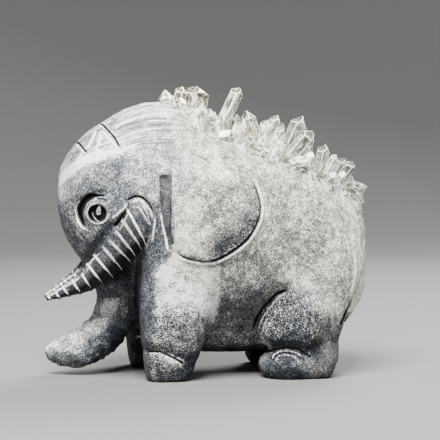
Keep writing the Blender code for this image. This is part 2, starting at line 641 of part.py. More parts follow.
def quartz_body(root, tip, half_thickness, face_lean, chance):
    """A six-sided point that narrows a little upwards, with six unequal faces that meet at its tip."""
    axis = (tip - root).normalized()
    across, upwards = direction_from(axis)
    turn = chance.uniform(0.0, math.pi / 3.0)
    corner = half_thickness / math.cos(math.pi / 6.0)
    rings = []
    for middle, scale in ((root - axis * ROOT_DEPTH, 1.0), (tip + axis * half_thickness, QUARTZ_TAPER)):
        ring = []
        for side in range(6):
            angle = turn + side * math.pi / 3.0
            ring.append(middle + (across * math.cos(angle) + upwards * math.sin(angle)) * corner * scale)
        rings.append(ring)
    solid = loft(rings)
    lean = math.radians(face_lean)
    for side in range(6):
        angle = turn + (side + 0.5) * math.pi / 3.0
        out = across * math.cos(angle) + upwards * math.sin(angle)
        facing = out * math.cos(lean) + axis * math.sin(lean)
        set_back = 0.0 if side % 2 == 0 else TIP_FACE_SPREAD * chance.uniform(0.1, 1.0) * half_thickness
        set_back += 0.12 * chance.uniform(0.0, 1.0) * half_thickness
        trim(solid, tip + facing * set_back, facing)
    return solid


def seat_on_stone(solid, root, tip, half_thickness, surface, stone_points):
    """Cuts the foot of a point along the stone under it, and leaves the clearance."""
    length = (tip - root).length
    lies_down = (surface.find_nearest(tip)[0] - tip).length < LYING_SHARE * length
    along = np.array(tip - root)
    offset = stone_points - np.array(root)
    t = offset @ along / (along @ along)
    reach = half_thickness + STONE_REACH
    near = np.linalg.norm(offset - np.clip(t, 0.0, 1.0)[:, None] * along, axis=1) < reach
    stretches = ((-1.0, 0.3), (0.3, 0.7), (0.7, 2.0)) if lies_down else ((-1.0, 2.0),)
    for start, end in stretches:
        middle = min(max(0.0, start), 1.0) if start < 0.0 else min(0.5 * (start + end), 1.0)
        spot, normal, _, _ = surface.find_nearest(root.lerp(tip, middle))
        proud = (stone_points[near & (t >= start) & (t <= end)] - np.array(spot)) @ np.array(normal)
        highest = max(0.0, float(proud.max())) if len(proud) else 0.0
        trim(solid, spot + normal * (highest + QUARTZ_CLEARANCE), -normal)


def closest_on_axes(first, second):
    """The nearest points of two straight segments, each given as (root, tip)."""
    best = None
    for s_share in np.linspace(0.0, 1.0, 13):
        on_first = first[0].lerp(first[1], s_share)
        along = second[1] - second[0]
        t_share = min(max((on_first - second[0]).dot(along) / along.length_squared, 0.0), 1.0)
        on_second = second[0].lerp(second[1], t_share)
        gap = (on_first - on_second).length
        if best is None or gap < best[0]:
            best = (gap, on_first, on_second)
    return best


def part_neighbours(first, second):
    """Where two points would grow into each other, both stop at a shared plane; a small one gives way."""
    gap, on_first, on_second = closest_on_axes(first["axis"], second["axis"])
    reach = (first["half"] + second["half"]) * 1.2 + QUARTZ_CLEARANCE
    if gap > reach:
        return
    outward = on_second - on_first
    if gap < 0.25 * UNIT:
        outward = second["axis"][0] - first["axis"][0]
    outward.normalize()
    far_first = max(vert.co.dot(outward) for vert in first["solid"].verts)
    near_second = min(vert.co.dot(outward) for vert in second["solid"].verts)
    if near_second - far_first >= QUARTZ_CLEARANCE:
        return
    if first["small"] == second["small"]:
        share = first["half"] / (first["half"] + second["half"])
        height = on_first.lerp(on_second, share).dot(outward)
    elif second["small"]:
        height = far_first + 0.5 * QUARTZ_CLEARANCE
    else:
        height = near_second - 0.5 * QUARTZ_CLEARANCE
    trim(first["solid"], outward * (height - 0.5 * QUARTZ_CLEARANCE), outward)
    trim(second["solid"], outward * (height + 0.5 * QUARTZ_CLEARANCE), -outward)


def small_points(chance, surface, taken):
    """Places for the small points: roots, tips and half thicknesses, clear of the roots already taken."""
    ridge = smooth_curve(BED_RIDGE, 4) * UNIT
    widths = smooth_curve([(width,) for width in BED_HALF_WIDTHS], 4)[:, 0] * UNIT
    found = []
    for _ in range(SMALL_POINT_TRIES):
        x = chance.uniform(*SMALL_POINT_STRETCH)
        reach = SMALL_POINT_BED_SHARE * float(np.interp(x, ridge[:, 0], widths))
        y = chance.uniform(-1.0, 1.0) * reach
        half = chance.uniform(*SMALL_POINT_HALF_WIDTHS)
        length = chance.uniform(*SMALL_POINT_LENGTHS)
        sway = Vector((chance.uniform(-0.4, 1.0), chance.uniform(-0.7, 0.7), 0.0)) * SMALL_POINT_LEAN
        spot, normal, _, _ = surface.ray_cast(Vector((x, y, FIGURE_LENGTH)), Vector((0.0, 0.0, -1.0)))
        crowded = any((spot - root).length < half + other + SMALL_POINT_SPACING for root, other in taken)
        if crowded or len(found) >= SMALL_POINT_COUNT:
            continue
        heading = (normal + Vector((0.0, 0.0, 0.8)) + sway).normalized()
        taken.append((spot, half))
        found.append((spot, spot + heading * length, half))
    return found


def quartz(stone, finish, frame):
    """Every point of the cluster, each as a piece of its own."""
    figure = bmesh.new()
    figure.from_mesh(stone.data)
    surface = BVHTree.FromBMesh(figure)
    stone_points = np.array([vert.co for vert in figure.verts])
    chance = random.Random(SMALL_POINT_SEED)
    points = []
    for name, (root_xy, rise, half) in TALL_POINTS.items():
        above = Vector((root_xy[0] * UNIT, root_xy[1] * UNIT, FIGURE_LENGTH))
        spot, _, _, _ = surface.ray_cast(above, Vector((0.0, 0.0, -1.0)))
        axis = (spot, spot + Vector(rise) * UNIT)
        points.append({"name": name, "axis": axis, "half": half * UNIT, "small": False})
    taken = [(point["axis"][0], point["half"]) for point in points]
    for number, (root, tip, half) in enumerate(small_points(chance, surface, taken), start=1):
        points.append({"name": f"small_{number:02d}", "axis": (root, tip), "half": half, "small": True})
    for point in points:
        root, tip = point["axis"]
        face_lean = BLUNT_FACE_LEAN if point["name"] == BLUNT_POINT else TIP_FACE_LEAN
        point["solid"] = quartz_body(root, tip, point["half"], face_lean, chance)
        seat_on_stone(point["solid"], root, tip, point["half"], surface, stone_points)
    for i, first in enumerate(points):
        for second in points[i + 1:]:
            part_neighbours(first, second)
    made = []
    for point in points:
        solid = point["solid"]
        bmesh.ops.remove_doubles(solid, verts=solid.verts, dist=1e-5)
        bmesh.ops.triangulate(solid, faces=solid.faces)
        bmesh.ops.recalc_face_normals(solid, faces=solid.faces)
        mesh = bpy.data.meshes.new(f"quartz_{point['name']}")
        solid.to_mesh(mesh)
        solid.free()
        mesh.materials.append(finish)
        piece = bpy.data.objects.new(mesh.name, mesh)
        bpy.context.scene.collection.objects.link(piece)
        piece.parent = frame
        made.append(piece)
    figure.free()
    return made


def recentre(pieces):
    """Puts the origin on the ground, at the middle of the overall box."""
    corners = np.array([vert.co for piece in pieces for vert in piece.data.vertices])
    low, high = corners.min(axis=0), corners.max(axis=0)
    shift = Vector(((low[0] + high[0]) * 0.5, (low[1] + high[1]) * 0.5, low[2]))
    for piece in pieces:
        for vert in piece.data.vertices:
            vert.co -= shift


def main():
    clear_scene()
    frame = bpy.data.objects.new("elephant_frame", None)
    bpy.context.scene.collection.objects.link(frame)
    stone = stone_elephant(material("grey_stone", STONE_GREY, 0.85), frame)
    points = quartz(stone, material("clear_quartz", QUARTZ_WHITE, 0.1, 1.0), frame)
    recentre([stone] + points)


main()
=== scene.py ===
"""Elephant carved from the grey host rock of a quartz cluster, with the cluster's points left on its back.

Sizes and places are in millimetres, in the frame's own axes: the head points to -X, the left side to -Y and
+Z is up. Both sides are carved alike, so what is cut or painted on a side is written once, as seen from the
left, in (x, z). A share runs from 0 to 1.
"""
import logging
import math
import random
from collections.abc import Iterator
from contextlib import contextmanager
from dataclasses import dataclass
from enum import Enum

import bpy
import numpy as np
from mathutils import Matrix, Vector
from mathutils.bvhtree import BVHTree


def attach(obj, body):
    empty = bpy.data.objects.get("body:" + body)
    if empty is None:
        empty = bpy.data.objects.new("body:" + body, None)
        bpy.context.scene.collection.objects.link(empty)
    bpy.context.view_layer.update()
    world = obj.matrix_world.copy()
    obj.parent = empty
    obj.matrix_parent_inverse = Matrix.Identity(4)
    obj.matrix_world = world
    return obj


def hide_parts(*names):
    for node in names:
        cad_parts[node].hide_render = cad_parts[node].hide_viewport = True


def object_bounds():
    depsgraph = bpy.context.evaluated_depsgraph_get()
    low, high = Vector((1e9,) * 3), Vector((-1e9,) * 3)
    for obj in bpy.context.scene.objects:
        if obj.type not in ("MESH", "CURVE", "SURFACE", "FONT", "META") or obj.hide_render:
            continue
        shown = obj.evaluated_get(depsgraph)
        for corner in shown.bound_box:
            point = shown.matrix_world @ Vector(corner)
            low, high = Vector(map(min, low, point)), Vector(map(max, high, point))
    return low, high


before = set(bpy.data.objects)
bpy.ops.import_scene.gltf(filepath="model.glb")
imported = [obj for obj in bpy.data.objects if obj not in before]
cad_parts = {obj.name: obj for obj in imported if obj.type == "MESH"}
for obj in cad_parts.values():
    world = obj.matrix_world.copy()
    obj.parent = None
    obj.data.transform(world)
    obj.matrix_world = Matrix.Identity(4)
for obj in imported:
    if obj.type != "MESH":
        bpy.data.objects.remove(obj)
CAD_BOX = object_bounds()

MM = 0.001
QUARTZ_IOR = 1.544
# what a rib's number and the step to the next rib are moved and divided by, to be kept as shares
RIB_SHIFT, RIB_SPAN, STEP_SPAN = 2.0, 16.0, 6.0
log = logging.getLogger("elephant")

Array = np.ndarray
Course = tuple[tuple[float, ...], ...]
Colour = tuple[float, float, float]
Mesh = bpy.types.Mesh
Piece = bpy.types.Object
Socket = bpy.types.NodeSocket


def ease(value: Array, start: float, end: float) -> Array:
    """Gives 0 before start and 1 after end, with a smooth rise between them."""
    share = np.clip((value - start) / (end - start), 0.0, 1.0)
    return share * share * (3.0 - 2.0 * share)


def fade(value: Array, start: float, end: float) -> Array:
    """Gives 1 before start and 0 after end, with a smooth fall between them."""
    return 1.0 - ease(value, start, end)


def towards(value: Array, goal: Array | float, share: Array) -> Array:
    """Takes a value its share of the way to a goal."""
    return value + (goal - value) * share


def stroke(gap: Array, half_width: Array | float) -> Array:
    """Gives 1 in the middle of a drawn line, a half at its edge and 0 as far out again."""
    return np.clip(1.0 - 0.5 * gap / half_width, 0.0, 1.0)


def patch(depth: Array, softness: float) -> Array:
    """Gives a share above a half inside an outline and under it outside, from the depth in it."""
    return np.clip(0.5 + depth / softness, 0.0, 1.0)


def as_share(values: Array) -> Array:
    """Stretches values to run from 0 to 1."""
    return (values - values.min()) / (values.max() - values.min())


def smooth_line(points: Course, steps: int = 5, closed: bool = False) -> Array:
    """Draws a curve through points.

    Args:
        points: The points that it passes through, in any number of dimensions.
        steps: How many pieces each stretch between two points is cut into.
        closed: Whether it comes back to its first point.

    Returns:
        The curve's own points, one to a row.
    """
    given = np.array(points, float)
    count = len(given)
    found = []
    for i in range(count if closed else count - 1):
        picks = [(i + k) % count if closed else min(max(i + k, 0), count - 1) for k in (-1, 0, 1, 2)]
        a, b, c, d = given[picks]
        for t in np.arange(steps) / steps:
            bend = (2 * a - 5 * b + 4 * c - d) * t**2 + (3 * b - a - 3 * c + d) * t**3
            found.append(0.5 * (2 * b + (c - a) * t + bend))
    found.append(given[0] if closed else given[-1])
    return np.array(found)


def rounded(outline: Course, steps: int = 3) -> Array:
    """Draws a smooth outline through corners."""
    return smooth_line(outline, steps, closed=True)[:-1]


def nearest_on(points: Array, line: Array) -> tuple[Array, Array]:
    """Measures points against a line.

    Args:
        points: The points, one to a row.
        line: The line's own points, in as many dimensions.

    Returns:
        Each point's distance to the line, and the share of the line's length at which the nearest spot lies.
    """
    lengths = np.linalg.norm(np.diff(line, axis=0), axis=1)
    starts = np.concatenate(([0.0], np.cumsum(lengths)))
    best = np.full(len(points), 1e9)
    along = np.zeros(len(points))
    for i, (a, b) in enumerate(zip(line, line[1:])):
        step = b - a
        t = np.clip((points - a) @ step / max(step @ step, 1e-12), 0.0, 1.0)
        gap = np.linalg.norm(points - (a + t[:, None] * step), axis=1)
        nearer = gap < best
        best[nearer] = gap[nearer]
        along[nearer] = ((starts[i] + t * lengths[i]) / starts[-1])[nearer]
    return best, along


def depth_in(points: Array, outline: Array, margin: float) -> Array:
    """Measures how far places (x, z) lie inside a closed outline.

    Args:
        points: The places, one to a row.
        outline: The outline's corners.
        margin: How far outside the outline a place is still measured.

    Returns:
        The distance to the outline's edge, below 0 outside it and -margin beyond the margin.
    """
    found = np.full(len(points), -margin, float)
    near = np.all((points > outline.min(axis=0) - margin) & (points < outline.max(axis=0) + margin), axis=1)
    within = np.zeros(near.sum(), bool)
    for (x1, z1), (x2, z2) in zip(outline, np.roll(outline, -1, axis=0)):
        crosses = (z1 > points[near, 1]) != (z2 > points[near, 1])
        reach = (x2 - x1) * (points[near, 1] - z1) / (1e-12 if z2 == z1 else z2 - z1) + x1
        within ^= crosses & (points[near, 0] < reach)
    edge, _ = nearest_on(points[near], np.vstack((outline, outline[:1])))
    found[near] = np.where(within, edge, -np.minimum(edge, margin))
    return found


def lumps(points: Array, size: float, seed: int = 0) -> Array:
    """Roughens a surface.

    Args:
        points: The places on it, one to a row.
        size: How wide a lump is.
        seed: Which of many random surfaces it is.

    Returns:
        A smooth random height from -1 to 1 at each place.
    """
    cell = points / size
    base = np.floor(cell).astype(np.int64)
    part = cell - base
    part = part * part * (3.0 - 2.0 * part)
    total = np.zeros(len(points))
    for corner in range(8):
        offset = np.array([(corner >> bit) & 1 for bit in range(3)])
        weight = np.prod(np.where(offset == 1, part, 1.0 - part), axis=1)
        key = (base + offset) @ np.array((374761393, 668265263, 1274126177)) + seed * 69069
        key = ((key ^ (key >> 13)) * 1274126177) & 0xFFFFFFFF
        key ^= key >> 15
        total += weight * ((key & 0xFFFF) / 32767.5 - 1.0)
    return total


def placed(name: str, data: bpy.types.ID) -> Piece:
    """Puts new data into the scene, under a name."""
    made = bpy.data.objects.new(name, data)
    bpy.context.scene.collection.objects.link(made)
    return made


def choose(piece: Piece) -> None:
    """Makes a piece the only one selected, and the active one."""
    bpy.ops.object.select_all(action="DESELECT")
    piece.select_set(True)
    bpy.context.view_layer.objects.active = piece


@contextmanager
def editing(piece: Piece, faces: Array | None = None) -> Iterator[None]:
    """Opens a piece's mesh for work, and closes it afterwards.

    Args:
        piece: The piece.
        faces: Whether each of its faces is selected; without it, all are.
    """
    choose(piece)
    bpy.ops.object.mode_set(mode="EDIT")
    bpy.ops.mesh.select_mode(type="FACE")
    bpy.ops.mesh.select_all(action="SELECT" if faces is None else "DESELECT")
    if faces is not None:
        bpy.ops.object.mode_set(mode="OBJECT")
        piece.data.polygons.foreach_set("select", faces)
        bpy.ops.object.mode_set(mode="EDIT")
    yield
    bpy.ops.object.mode_set(mode="OBJECT")


def finish_modifiers(piece: Piece) -> None:
    """Applies every modifier of a piece, in order."""
    choose(piece)
    for modifier in list(piece.modifiers):
        bpy.ops.object.modifier_apply(modifier=modifier.name)


def join(pieces: list[Piece], name: str) -> Piece:
    """Joins pieces into the first one.

    Args:
        pieces: The pieces.
        name: What the whole is called.

    Returns:
        The whole.
    """
    choose(pieces[0])
    for piece in pieces[1:]:
        piece.select_set(True)
    bpy.ops.object.join()
    pieces[0].name = name
    return pieces[0]


def read(parts: bpy.types.bpy_prop_collection, field: str) -> Array:
    """Reads a field of three numbers from every vertex or face of a mesh."""
    values = np.zeros(len(parts) * 3)
    parts.foreach_get(field, values)
    return values.reshape(-1, 3)


def mesh_points(mesh: Mesh) -> Array:
    """Reads a mesh's vertices, in millimetres."""
    return read(mesh.vertices, "co") / MM


def move_points(mesh: Mesh, points: Array) -> None:
    """Puts a mesh's vertices at points given in millimetres."""
    mesh.vertices.foreach_set("co", (points * MM).ravel())
    mesh.update()


def store(mesh: Mesh, name: str, kind: str, values: Array) -> None:
    """Keeps a value of some kind for each vertex, under a name that a material reads."""
    attribute = mesh.attributes.new(name, kind, "POINT")
    fields = {"FLOAT": "value", "FLOAT_VECTOR": "vector", "FLOAT_COLOR": "color"}
    attribute.data.foreach_set(fields[kind], values.astype(np.float32).ravel())


class Mask:
    """A number that changes over a surface, so that shader maths reads as an expression."""

    def __init__(self, recipe: "Recipe", socket: Socket) -> None:
        """Wraps an output socket of one of the recipe's nodes."""
        self.recipe = recipe
        self.socket = socket

    def maths(self, operation: str, first: "Mask | float", second: "Mask | float" = 0.0) -> "Mask":
        """Adds a Math node on two values."""
        node = self.recipe.node("ShaderNodeMath", {0: first, 1: second}, operation=operation)
        return Mask(self.recipe, node.outputs[0])

    def __add__(self, other: "Mask | float") -> "Mask":
        """Adds to this."""
        return self.maths("ADD", self, other)

    __radd__ = __add__

    def __mul__(self, other: "Mask | float") -> "Mask":
        """Multiplies this."""
        return self.maths("MULTIPLY", self, other)

    __rmul__ = __mul__

    def __sub__(self, other: "Mask | float") -> "Mask":
        """Takes from this."""
        return self.maths("SUBTRACT", self, other)

    def __rsub__(self, other: "Mask | float") -> "Mask":
        """Takes this from a value."""
        return self.maths("SUBTRACT", other, self)

    def at_most(self, other: "Mask | float") -> "Mask":
        """Keeps the smaller of this and another."""
        return self.maths("MINIMUM", self, other)

    def at_least(self, other: "Mask | float") -> "Mask":
        """Keeps the larger of this and another."""
        return self.maths("MAXIMUM", self, other)

    def fold(self) -> "Mask":
        """Gives the distance to the nearest whole number."""
        near = self.maths("FRACT", self + 0.5) - 0.5
        return near.maths("ABSOLUTE", near)

    def rise(self, start: float, end: float) -> "Mask":
        """Gives 0 at start and 1 at end, with a smooth change between them."""
        values = {"Value": self, "From Min": start, "From Max": end}
        node = self.recipe.node("ShaderNodeMapRange", values, interpolation_type="SMOOTHSTEP")
        return Mask(self.recipe, node.outputs[0])


class Recipe:
    """The nodes of one material."""

    def __init__(self, name: str) -> None:
        """Starts an empty material with an output.

        Args:
            name: What the material is called.
        """
        self.material = bpy.data.materials.new(name)
        self.material.use_nodes = True
        self.tree = self.material.node_tree
        self.tree.nodes.clear()
        self.output = self.tree.nodes.new("ShaderNodeOutputMaterial")

    def node(self, kind: str, values: dict | None = None, **settings: str) -> bpy.types.Node:
        """Adds a node.

        Args:
            kind: The node's type.
            values: What its input sockets get, by name or number: plain values, masks or sockets.
            settings: What is set on the node itself.

        Returns:
            The node.
        """
        made = self.tree.nodes.new(kind)
        for name, setting in settings.items():
            setattr(made, name, setting)
        for name, value in (values or {}).items():
            value = value.socket if isinstance(value, Mask) else value
            if isinstance(value, Socket):
                self.tree.links.new(value, made.inputs[name])
            else:
                made.inputs[name].default_value = value
        return made

    def coordinates(self) -> Socket:
        """Places on the object, in metres."""
        return self.node("ShaderNodeTexCoord").outputs["Object"]

    def stored(self, name: str) -> bpy.types.Node:
        """Reads a value kept with the mesh."""
        return self.node("ShaderNodeAttribute", attribute_type="GEOMETRY", attribute_name=name)

    def channels(self, name: str) -> list[Mask]:
        """Reads a colour kept with the mesh, as four numbers."""
        stored = self.stored(name)
        node = self.node("ShaderNodeSeparateColor", {0: stored.outputs["Color"]})
        return [Mask(self, output) for output in (*node.outputs, stored.outputs["Alpha"])]

    def stretched(self, places: Socket, longer: Colour, turn: float = 0.0) -> Socket:
        """Makes a pattern's marks so many times longer along each axis, and turns them about Y (radians)."""
        values = {"Vector": places, "Scale": longer, "Rotation": (0.0, turn, 0.0)}
        return self.node("ShaderNodeMapping", values, vector_type="TEXTURE").outputs[0]

    def noise(self, places: Socket, size: float, detail: float = 2.0, rough: float = 0.5) -> Mask:
        """Random values about a half, in spots about size millimetres across."""
        values = {"Vector": places, "Scale": 1.0 / (size * MM), "Detail": detail, "Roughness": rough}
        return Mask(self, self.node("ShaderNodeTexNoise", values).outputs[0])

    def blend(self, factor: Mask | float, low: Socket | Colour, high: Socket | Colour) -> Socket:
        """Mixes two colours."""
        low, high = ((*part, 1.0) if isinstance(part, tuple) else part for part in (low, high))
        return self.node("ShaderNodeMix", {0: factor, 6: low, 7: high}, data_type="RGBA").outputs[2]

    def ramp(self, factor: Mask, stops: tuple[tuple[float, Colour], ...]) -> Socket:
        """Turns a number into a colour.

        Args:
            factor: The number.
            stops: Numbers with their colours, in rising order.

        Returns:
            The colour.
        """
        node = self.node("ShaderNodeValToRGB", {0: factor})
        elements = node.color_ramp.elements
        while len(elements) < len(stops):
            elements.new(0.5)
        for element, (place, colour) in zip(elements, stops):
            element.position = place
            element.color = (*colour, 1.0)
        return node.outputs[0]

    def bump(self, height: Mask, depth: float, strength: float = 1.0) -> Socket:
        """Turns a height into a normal, with depth in millimetres between heights 0 and 1."""
        values = {"Height": height, "Distance": depth * MM, "Strength": strength}
        return self.node("ShaderNodeBump", values).outputs[0]

    def shader(self, colour: Socket | Colour, roughness: Mask | float, **values: Socket | float) -> Socket:
        """Adds the shader that all finishes use.

        Args:
            colour: The base colour.
            roughness: The roughness.
            values: What other sockets get, by their names with _ for a space.

        Returns:
            The shader's output.
        """
        colour = (*colour, 1.0) if isinstance(colour, tuple) else colour
        named = {name.replace("_", " "): value for name, value in values.items()}
        named = {"Base Color": colour, "Roughness": roughness} | named
        return self.node("ShaderNodeBsdfPrincipled", named).outputs[0]

    def surface(self, shader: Socket) -> bpy.types.Material:
        """Ends the material with a shader."""
        self.tree.links.new(shader, self.output.inputs["Surface"])
        return self.material


@dataclass(frozen=True)
class StoneFinish:
    """Dark rock, struck all over with a pointed tool and rubbed with white, which the kept attributes lead;
    its tone, its black and its white also carry painted shade and painted highlights.

    The attribute "wash" holds tone, black (ink and painted shade), white (chalk and painted highlights) and
    hair; "trim" holds tusk, rib number, rib step and how cool the grey is. The black and the white are sharp
    where they pass a half.
    """

    warm: tuple = (
        (0.00, (0.002, 0.003, 0.004)),
        (0.15, (0.010, 0.011, 0.012)),
        (0.30, (0.029, 0.030, 0.031)),
        (0.50, (0.076, 0.077, 0.073)),
        (0.68, (0.151, 0.151, 0.137)),
        (0.84, (0.322, 0.320, 0.280)),
        (1.00, (0.800, 0.790, 0.690)),
    )
    cool: tuple = (
        (0.00, (0.002, 0.003, 0.005)),
        (0.15, (0.009, 0.011, 0.015)),
        (0.30, (0.026, 0.030, 0.038)),
        (0.50, (0.070, 0.076, 0.087)),
        (0.68, (0.146, 0.153, 0.160)),
        (0.84, (0.316, 0.322, 0.318)),
        (1.00, (0.790, 0.795, 0.770)),
    )
    chalk_and_highlight: Colour = (0.90, 0.90, 0.86)
    ink_and_shade: Colour = (0.002, 0.0025, 0.004)
    fleck_size: float = 0.25
    fleck_stretch: Colour = (2.4, 1.4, 1.0)
    fleck_turns: tuple[float, float] = (-0.8, 0.9)
    lean_size: float = 1.6
    speck_size: float = 0.5
    grain_size: float = 2.4
    cloud_size: float = 6.0
    drift_size: float = 18.0
    fleck_depth: float = 0.1
    rib_half_width: float = 0.35

    def material(self) -> bpy.types.Material:
        """Builds the material.

        Returns:
            The material.
        """
        recipe = Recipe("carved_stone")
        spot = recipe.coordinates()
        tone, ink_and_shade, chalk_and_highlight, hair = recipe.channels("wash")
        tusk, rib, step, cool = recipe.channels("trim")
        rising, falling = (
            recipe.noise(recipe.stretched(spot, self.fleck_stretch, turn), self.fleck_size, 1.0, 0.4)
            for turn in self.fleck_turns
        )
        lean = recipe.noise(spot, self.lean_size).rise(0.42, 0.58)
        fleck = (rising + (falling - rising) * lean).rise(0.36, 0.64) - 0.5
        speck = recipe.noise(spot, self.speck_size, 1.0, 0.6).rise(0.58, 0.7)
        grain = recipe.noise(spot, self.grain_size, 3.0, 0.75) - 0.5
        cloud = recipe.noise(spot, self.cloud_size, 3.0, 0.6) - 0.5
        drift = recipe.noise(spot, self.drift_size, 1.0) - 0.5
        steep = recipe.noise(recipe.stretched(spot, (1.0, 2.0, 9.0), 0.3), 0.45, 1.0).rise(0.56, 0.66)
        crossing = recipe.noise(recipe.stretched(spot, (1.0, 2.0, 6.0), -0.6), 0.42, 1.0).rise(0.58, 0.66)
        scratches = steep * cloud.rise(-0.04, 0.08) + crossing * grain.rise(-0.02, 0.06)
        flow = recipe.stored("flow").outputs["Vector"]
        strand = recipe.noise(recipe.stretched(flow, (20.0, 1.0, 1.0)), 0.8, 2.0, 0.7).rise(0.32, 0.68) - 0.5
        calm = 1.0 - Mask(recipe, recipe.stored("calm").outputs["Fac"])
        swing = (0.1 + tone * (1.0 - tone) * 1.45) * calm
        coarse = (fleck * swing + grain * (0.3 + calm * 0.4)) * (1.0 - hair * 0.5)
        specks = speck * (0.1 + (1.0 - tone) * cloud.rise(-0.2, 0.1) * 0.4) * calm
        fine = cloud * 0.4 + drift * 0.2 + scratches * 0.13 + strand * hair * 0.55
        brightness = tone + coarse + specks + fine
        ribs = rib * RIB_SPAN - RIB_SHIFT
        to_rib = ribs.fold() * (step * STEP_SPAN)
        parted = (ribs.rise(0.4, 0.6) - ribs.rise(4.4, 4.6)) * to_rib.rise(0.24, 0.08)
        line = (to_rib + fleck * 0.2).rise(self.rib_half_width + 0.07, self.rib_half_width - 0.07)
        line = line * tusk.rise(0.4, 0.6) * (0.86 - parted * 0.7 + fleck * 0.4) * chalk_and_highlight.rise(0.04, 0.12)
        whitened = ((chalk_and_highlight + fleck * 0.3).rise(0.35, 0.65) * 0.9).at_least(line).at_most(1.0)
        colour = recipe.blend(cool, recipe.ramp(brightness, self.warm), recipe.ramp(brightness, self.cool))
        # black of ink and painted shade
        colour = recipe.blend((ink_and_shade + fleck * 0.22).rise(0.38, 0.62), colour, self.ink_and_shade)
        # white of chalk and painted highlights
        colour = recipe.blend(whitened, colour, self.chalk_and_highlight)
        height = fleck * calm + grain * 3.0 + strand * hair * 1.6 - scratches * 0.5
        sheen = {"Specular_IOR_Level": 0.16, "Normal": recipe.bump(height, self.fleck_depth)}
        return recipe.surface(recipe.shader(colour, 0.55 + tone * 0.25, **sheen))


@dataclass(frozen=True)
class QuartzFinish:
    """See-through quartz with milk at its root and in veils, by how far up the point a spot lies."""

    name: str
    tint: Colour
    milk: Colour
    milk_at_root: float
    milk_at_tip: float
    veils: float

    def material(self) -> bpy.types.Material:
        """Builds the material.

        Returns:
            The material.
        """
        recipe = Recipe(self.name)
        spot = recipe.coordinates()
        growth = recipe.stored("growth").outputs["Vector"]
        height = Mask(recipe, recipe.node("ShaderNodeSeparateXYZ", {0: growth}).outputs[2])
        wisps = recipe.noise(recipe.stretched(growth, (1.0, 1.0, 0.25)), 0.9 / MM, 3.0)
        cloud = recipe.noise(spot, 3.0, 4.0, 0.65)
        threads = recipe.noise(spot, 0.6, 2.0)
        milk = self.milk_at_root + height.rise(0.05, 0.9) * (self.milk_at_tip - self.milk_at_root)
        for veil, share in ((wisps, 1.0), (cloud, 0.6)):
            milk = milk + (veil.rise(0.35, 0.65) - 0.5) * (self.veils * share)
        normal = recipe.bump(wisps + threads * 0.3, 0.12, 0.5)
        clear = recipe.shader(self.tint, 0.05, IOR=QUARTZ_IOR, Transmission_Weight=1.0, Normal=normal)
        shade = tuple(0.4 * part for part in self.milk)
        white = recipe.blend((wisps + threads * 0.3).rise(0.45, 0.8), shade, self.milk)
        milky = recipe.shader(white, 0.25, IOR=QUARTZ_IOR, Normal=normal)
        values = {0: milk.at_least(0.0).at_most(1.0), 1: clear, 2: milky}
        return recipe.surface(recipe.node("ShaderNodeMixShader", values).outputs[0])


@dataclass(frozen=True)
class EdgeHighlight:
    """The white edges of a point: a painted highlight along its bevels."""

    name: str = "worn_quartz_edge"
    colour: Colour = (0.93, 0.92, 0.88)
    hollow: Colour = (0.6, 0.58, 0.5)

    def material(self) -> bpy.types.Material:
        """Builds the material.

        Returns:
            The material.
        """
        recipe = Recipe(self.name)
        mottle = recipe.noise(recipe.coordinates(), 0.5, 2.0)
        colour = recipe.blend(mottle.rise(0.3, 0.6), self.hollow, self.colour)
        return recipe.surface(recipe.shader(colour, 0.3, Normal=recipe.bump(mottle, 0.1)))


class Clarity(Enum):
    """How the quartz of a point looks."""

    CREAM = QuartzFinish("cream_quartz", (0.83, 0.80, 0.66), (0.55, 0.53, 0.45), 0.6, 0.0, 1.0)
    MILKY = QuartzFinish("milky_quartz", (0.93, 0.91, 0.82), (0.84, 0.83, 0.76), 0.85, 0.25, 1.1)
    CLEAR = QuartzFinish("clear_quartz", (0.86, 0.86, 0.80), (0.50, 0.49, 0.42), 0.4, -0.25, 0.8)
    SMOKY = QuartzFinish("smoky_quartz", (0.76, 0.73, 0.60), (0.36, 0.33, 0.24), 0.6, 0.3, 1.0)


@dataclass(frozen=True)
class Cut:
    """A line cut in both sides: how dark it stays, with ink and painted shade in the cut, and how white its
    edges and its middle are made, with chalk and painted highlights.
    """

    course: Course
    depth: float
    half_width: float
    ink_and_shade: float
    rim: float = 0.0
    least_y: float = 9.0
    open_ends: bool = True
    white: float = 0.0

    def profile(self, side: Array) -> tuple[Array, Array, Array]:
        """Measures the cut at places (x, z).

        Args:
            side: Places on the side, one to a row.

        Returns:
            How far each place is sunk, blackened and whitened, as shares; the black holds painted shade and
            the white painted highlights, and both pass a half at the edge of what is dark or white.
        """
        line = smooth_line(self.course)
        sunk, darkened, whitened = (np.zeros(len(side)) for _ in range(3))
        margin = 4.0 * self.half_width + 1.5
        low, high = line.min(axis=0) - margin, line.max(axis=0) + margin
        near = np.all((side > low) & (side < high), axis=1)
        gap, along = nearest_on(side[near], line)
        ends = ease(along, 0.0, 0.1) * fade(along, 0.9, 1.0) if self.open_ends else np.ones(len(gap))
        half_width = self.half_width * (0.35 + 0.65 * ends)
        sunk[near] = fade(gap / half_width, 0.3, 1.1) * ends
        darkened[near] = stroke(gap, half_width) * self.ink_and_shade * (0.4 + 0.6 * ends)
        rims = stroke(np.abs(gap / half_width - 1.75), 0.55) * self.rim * (0.3 + 0.7 * ends)
        whitened[near] = np.maximum(rims, stroke(gap, half_width) * self.white * (0.5 + 0.5 * ends))
        return sunk, darkened, whitened


def raised(course: Course, height: float, half_width: float, white: float, least_y: float = 9.0) -> Cut:
    """Leaves a line standing in both sides, whitened along its top with chalk and painted highlights."""
    return Cut(course, -height, half_width, 0.0, least_y=least_y, white=white)


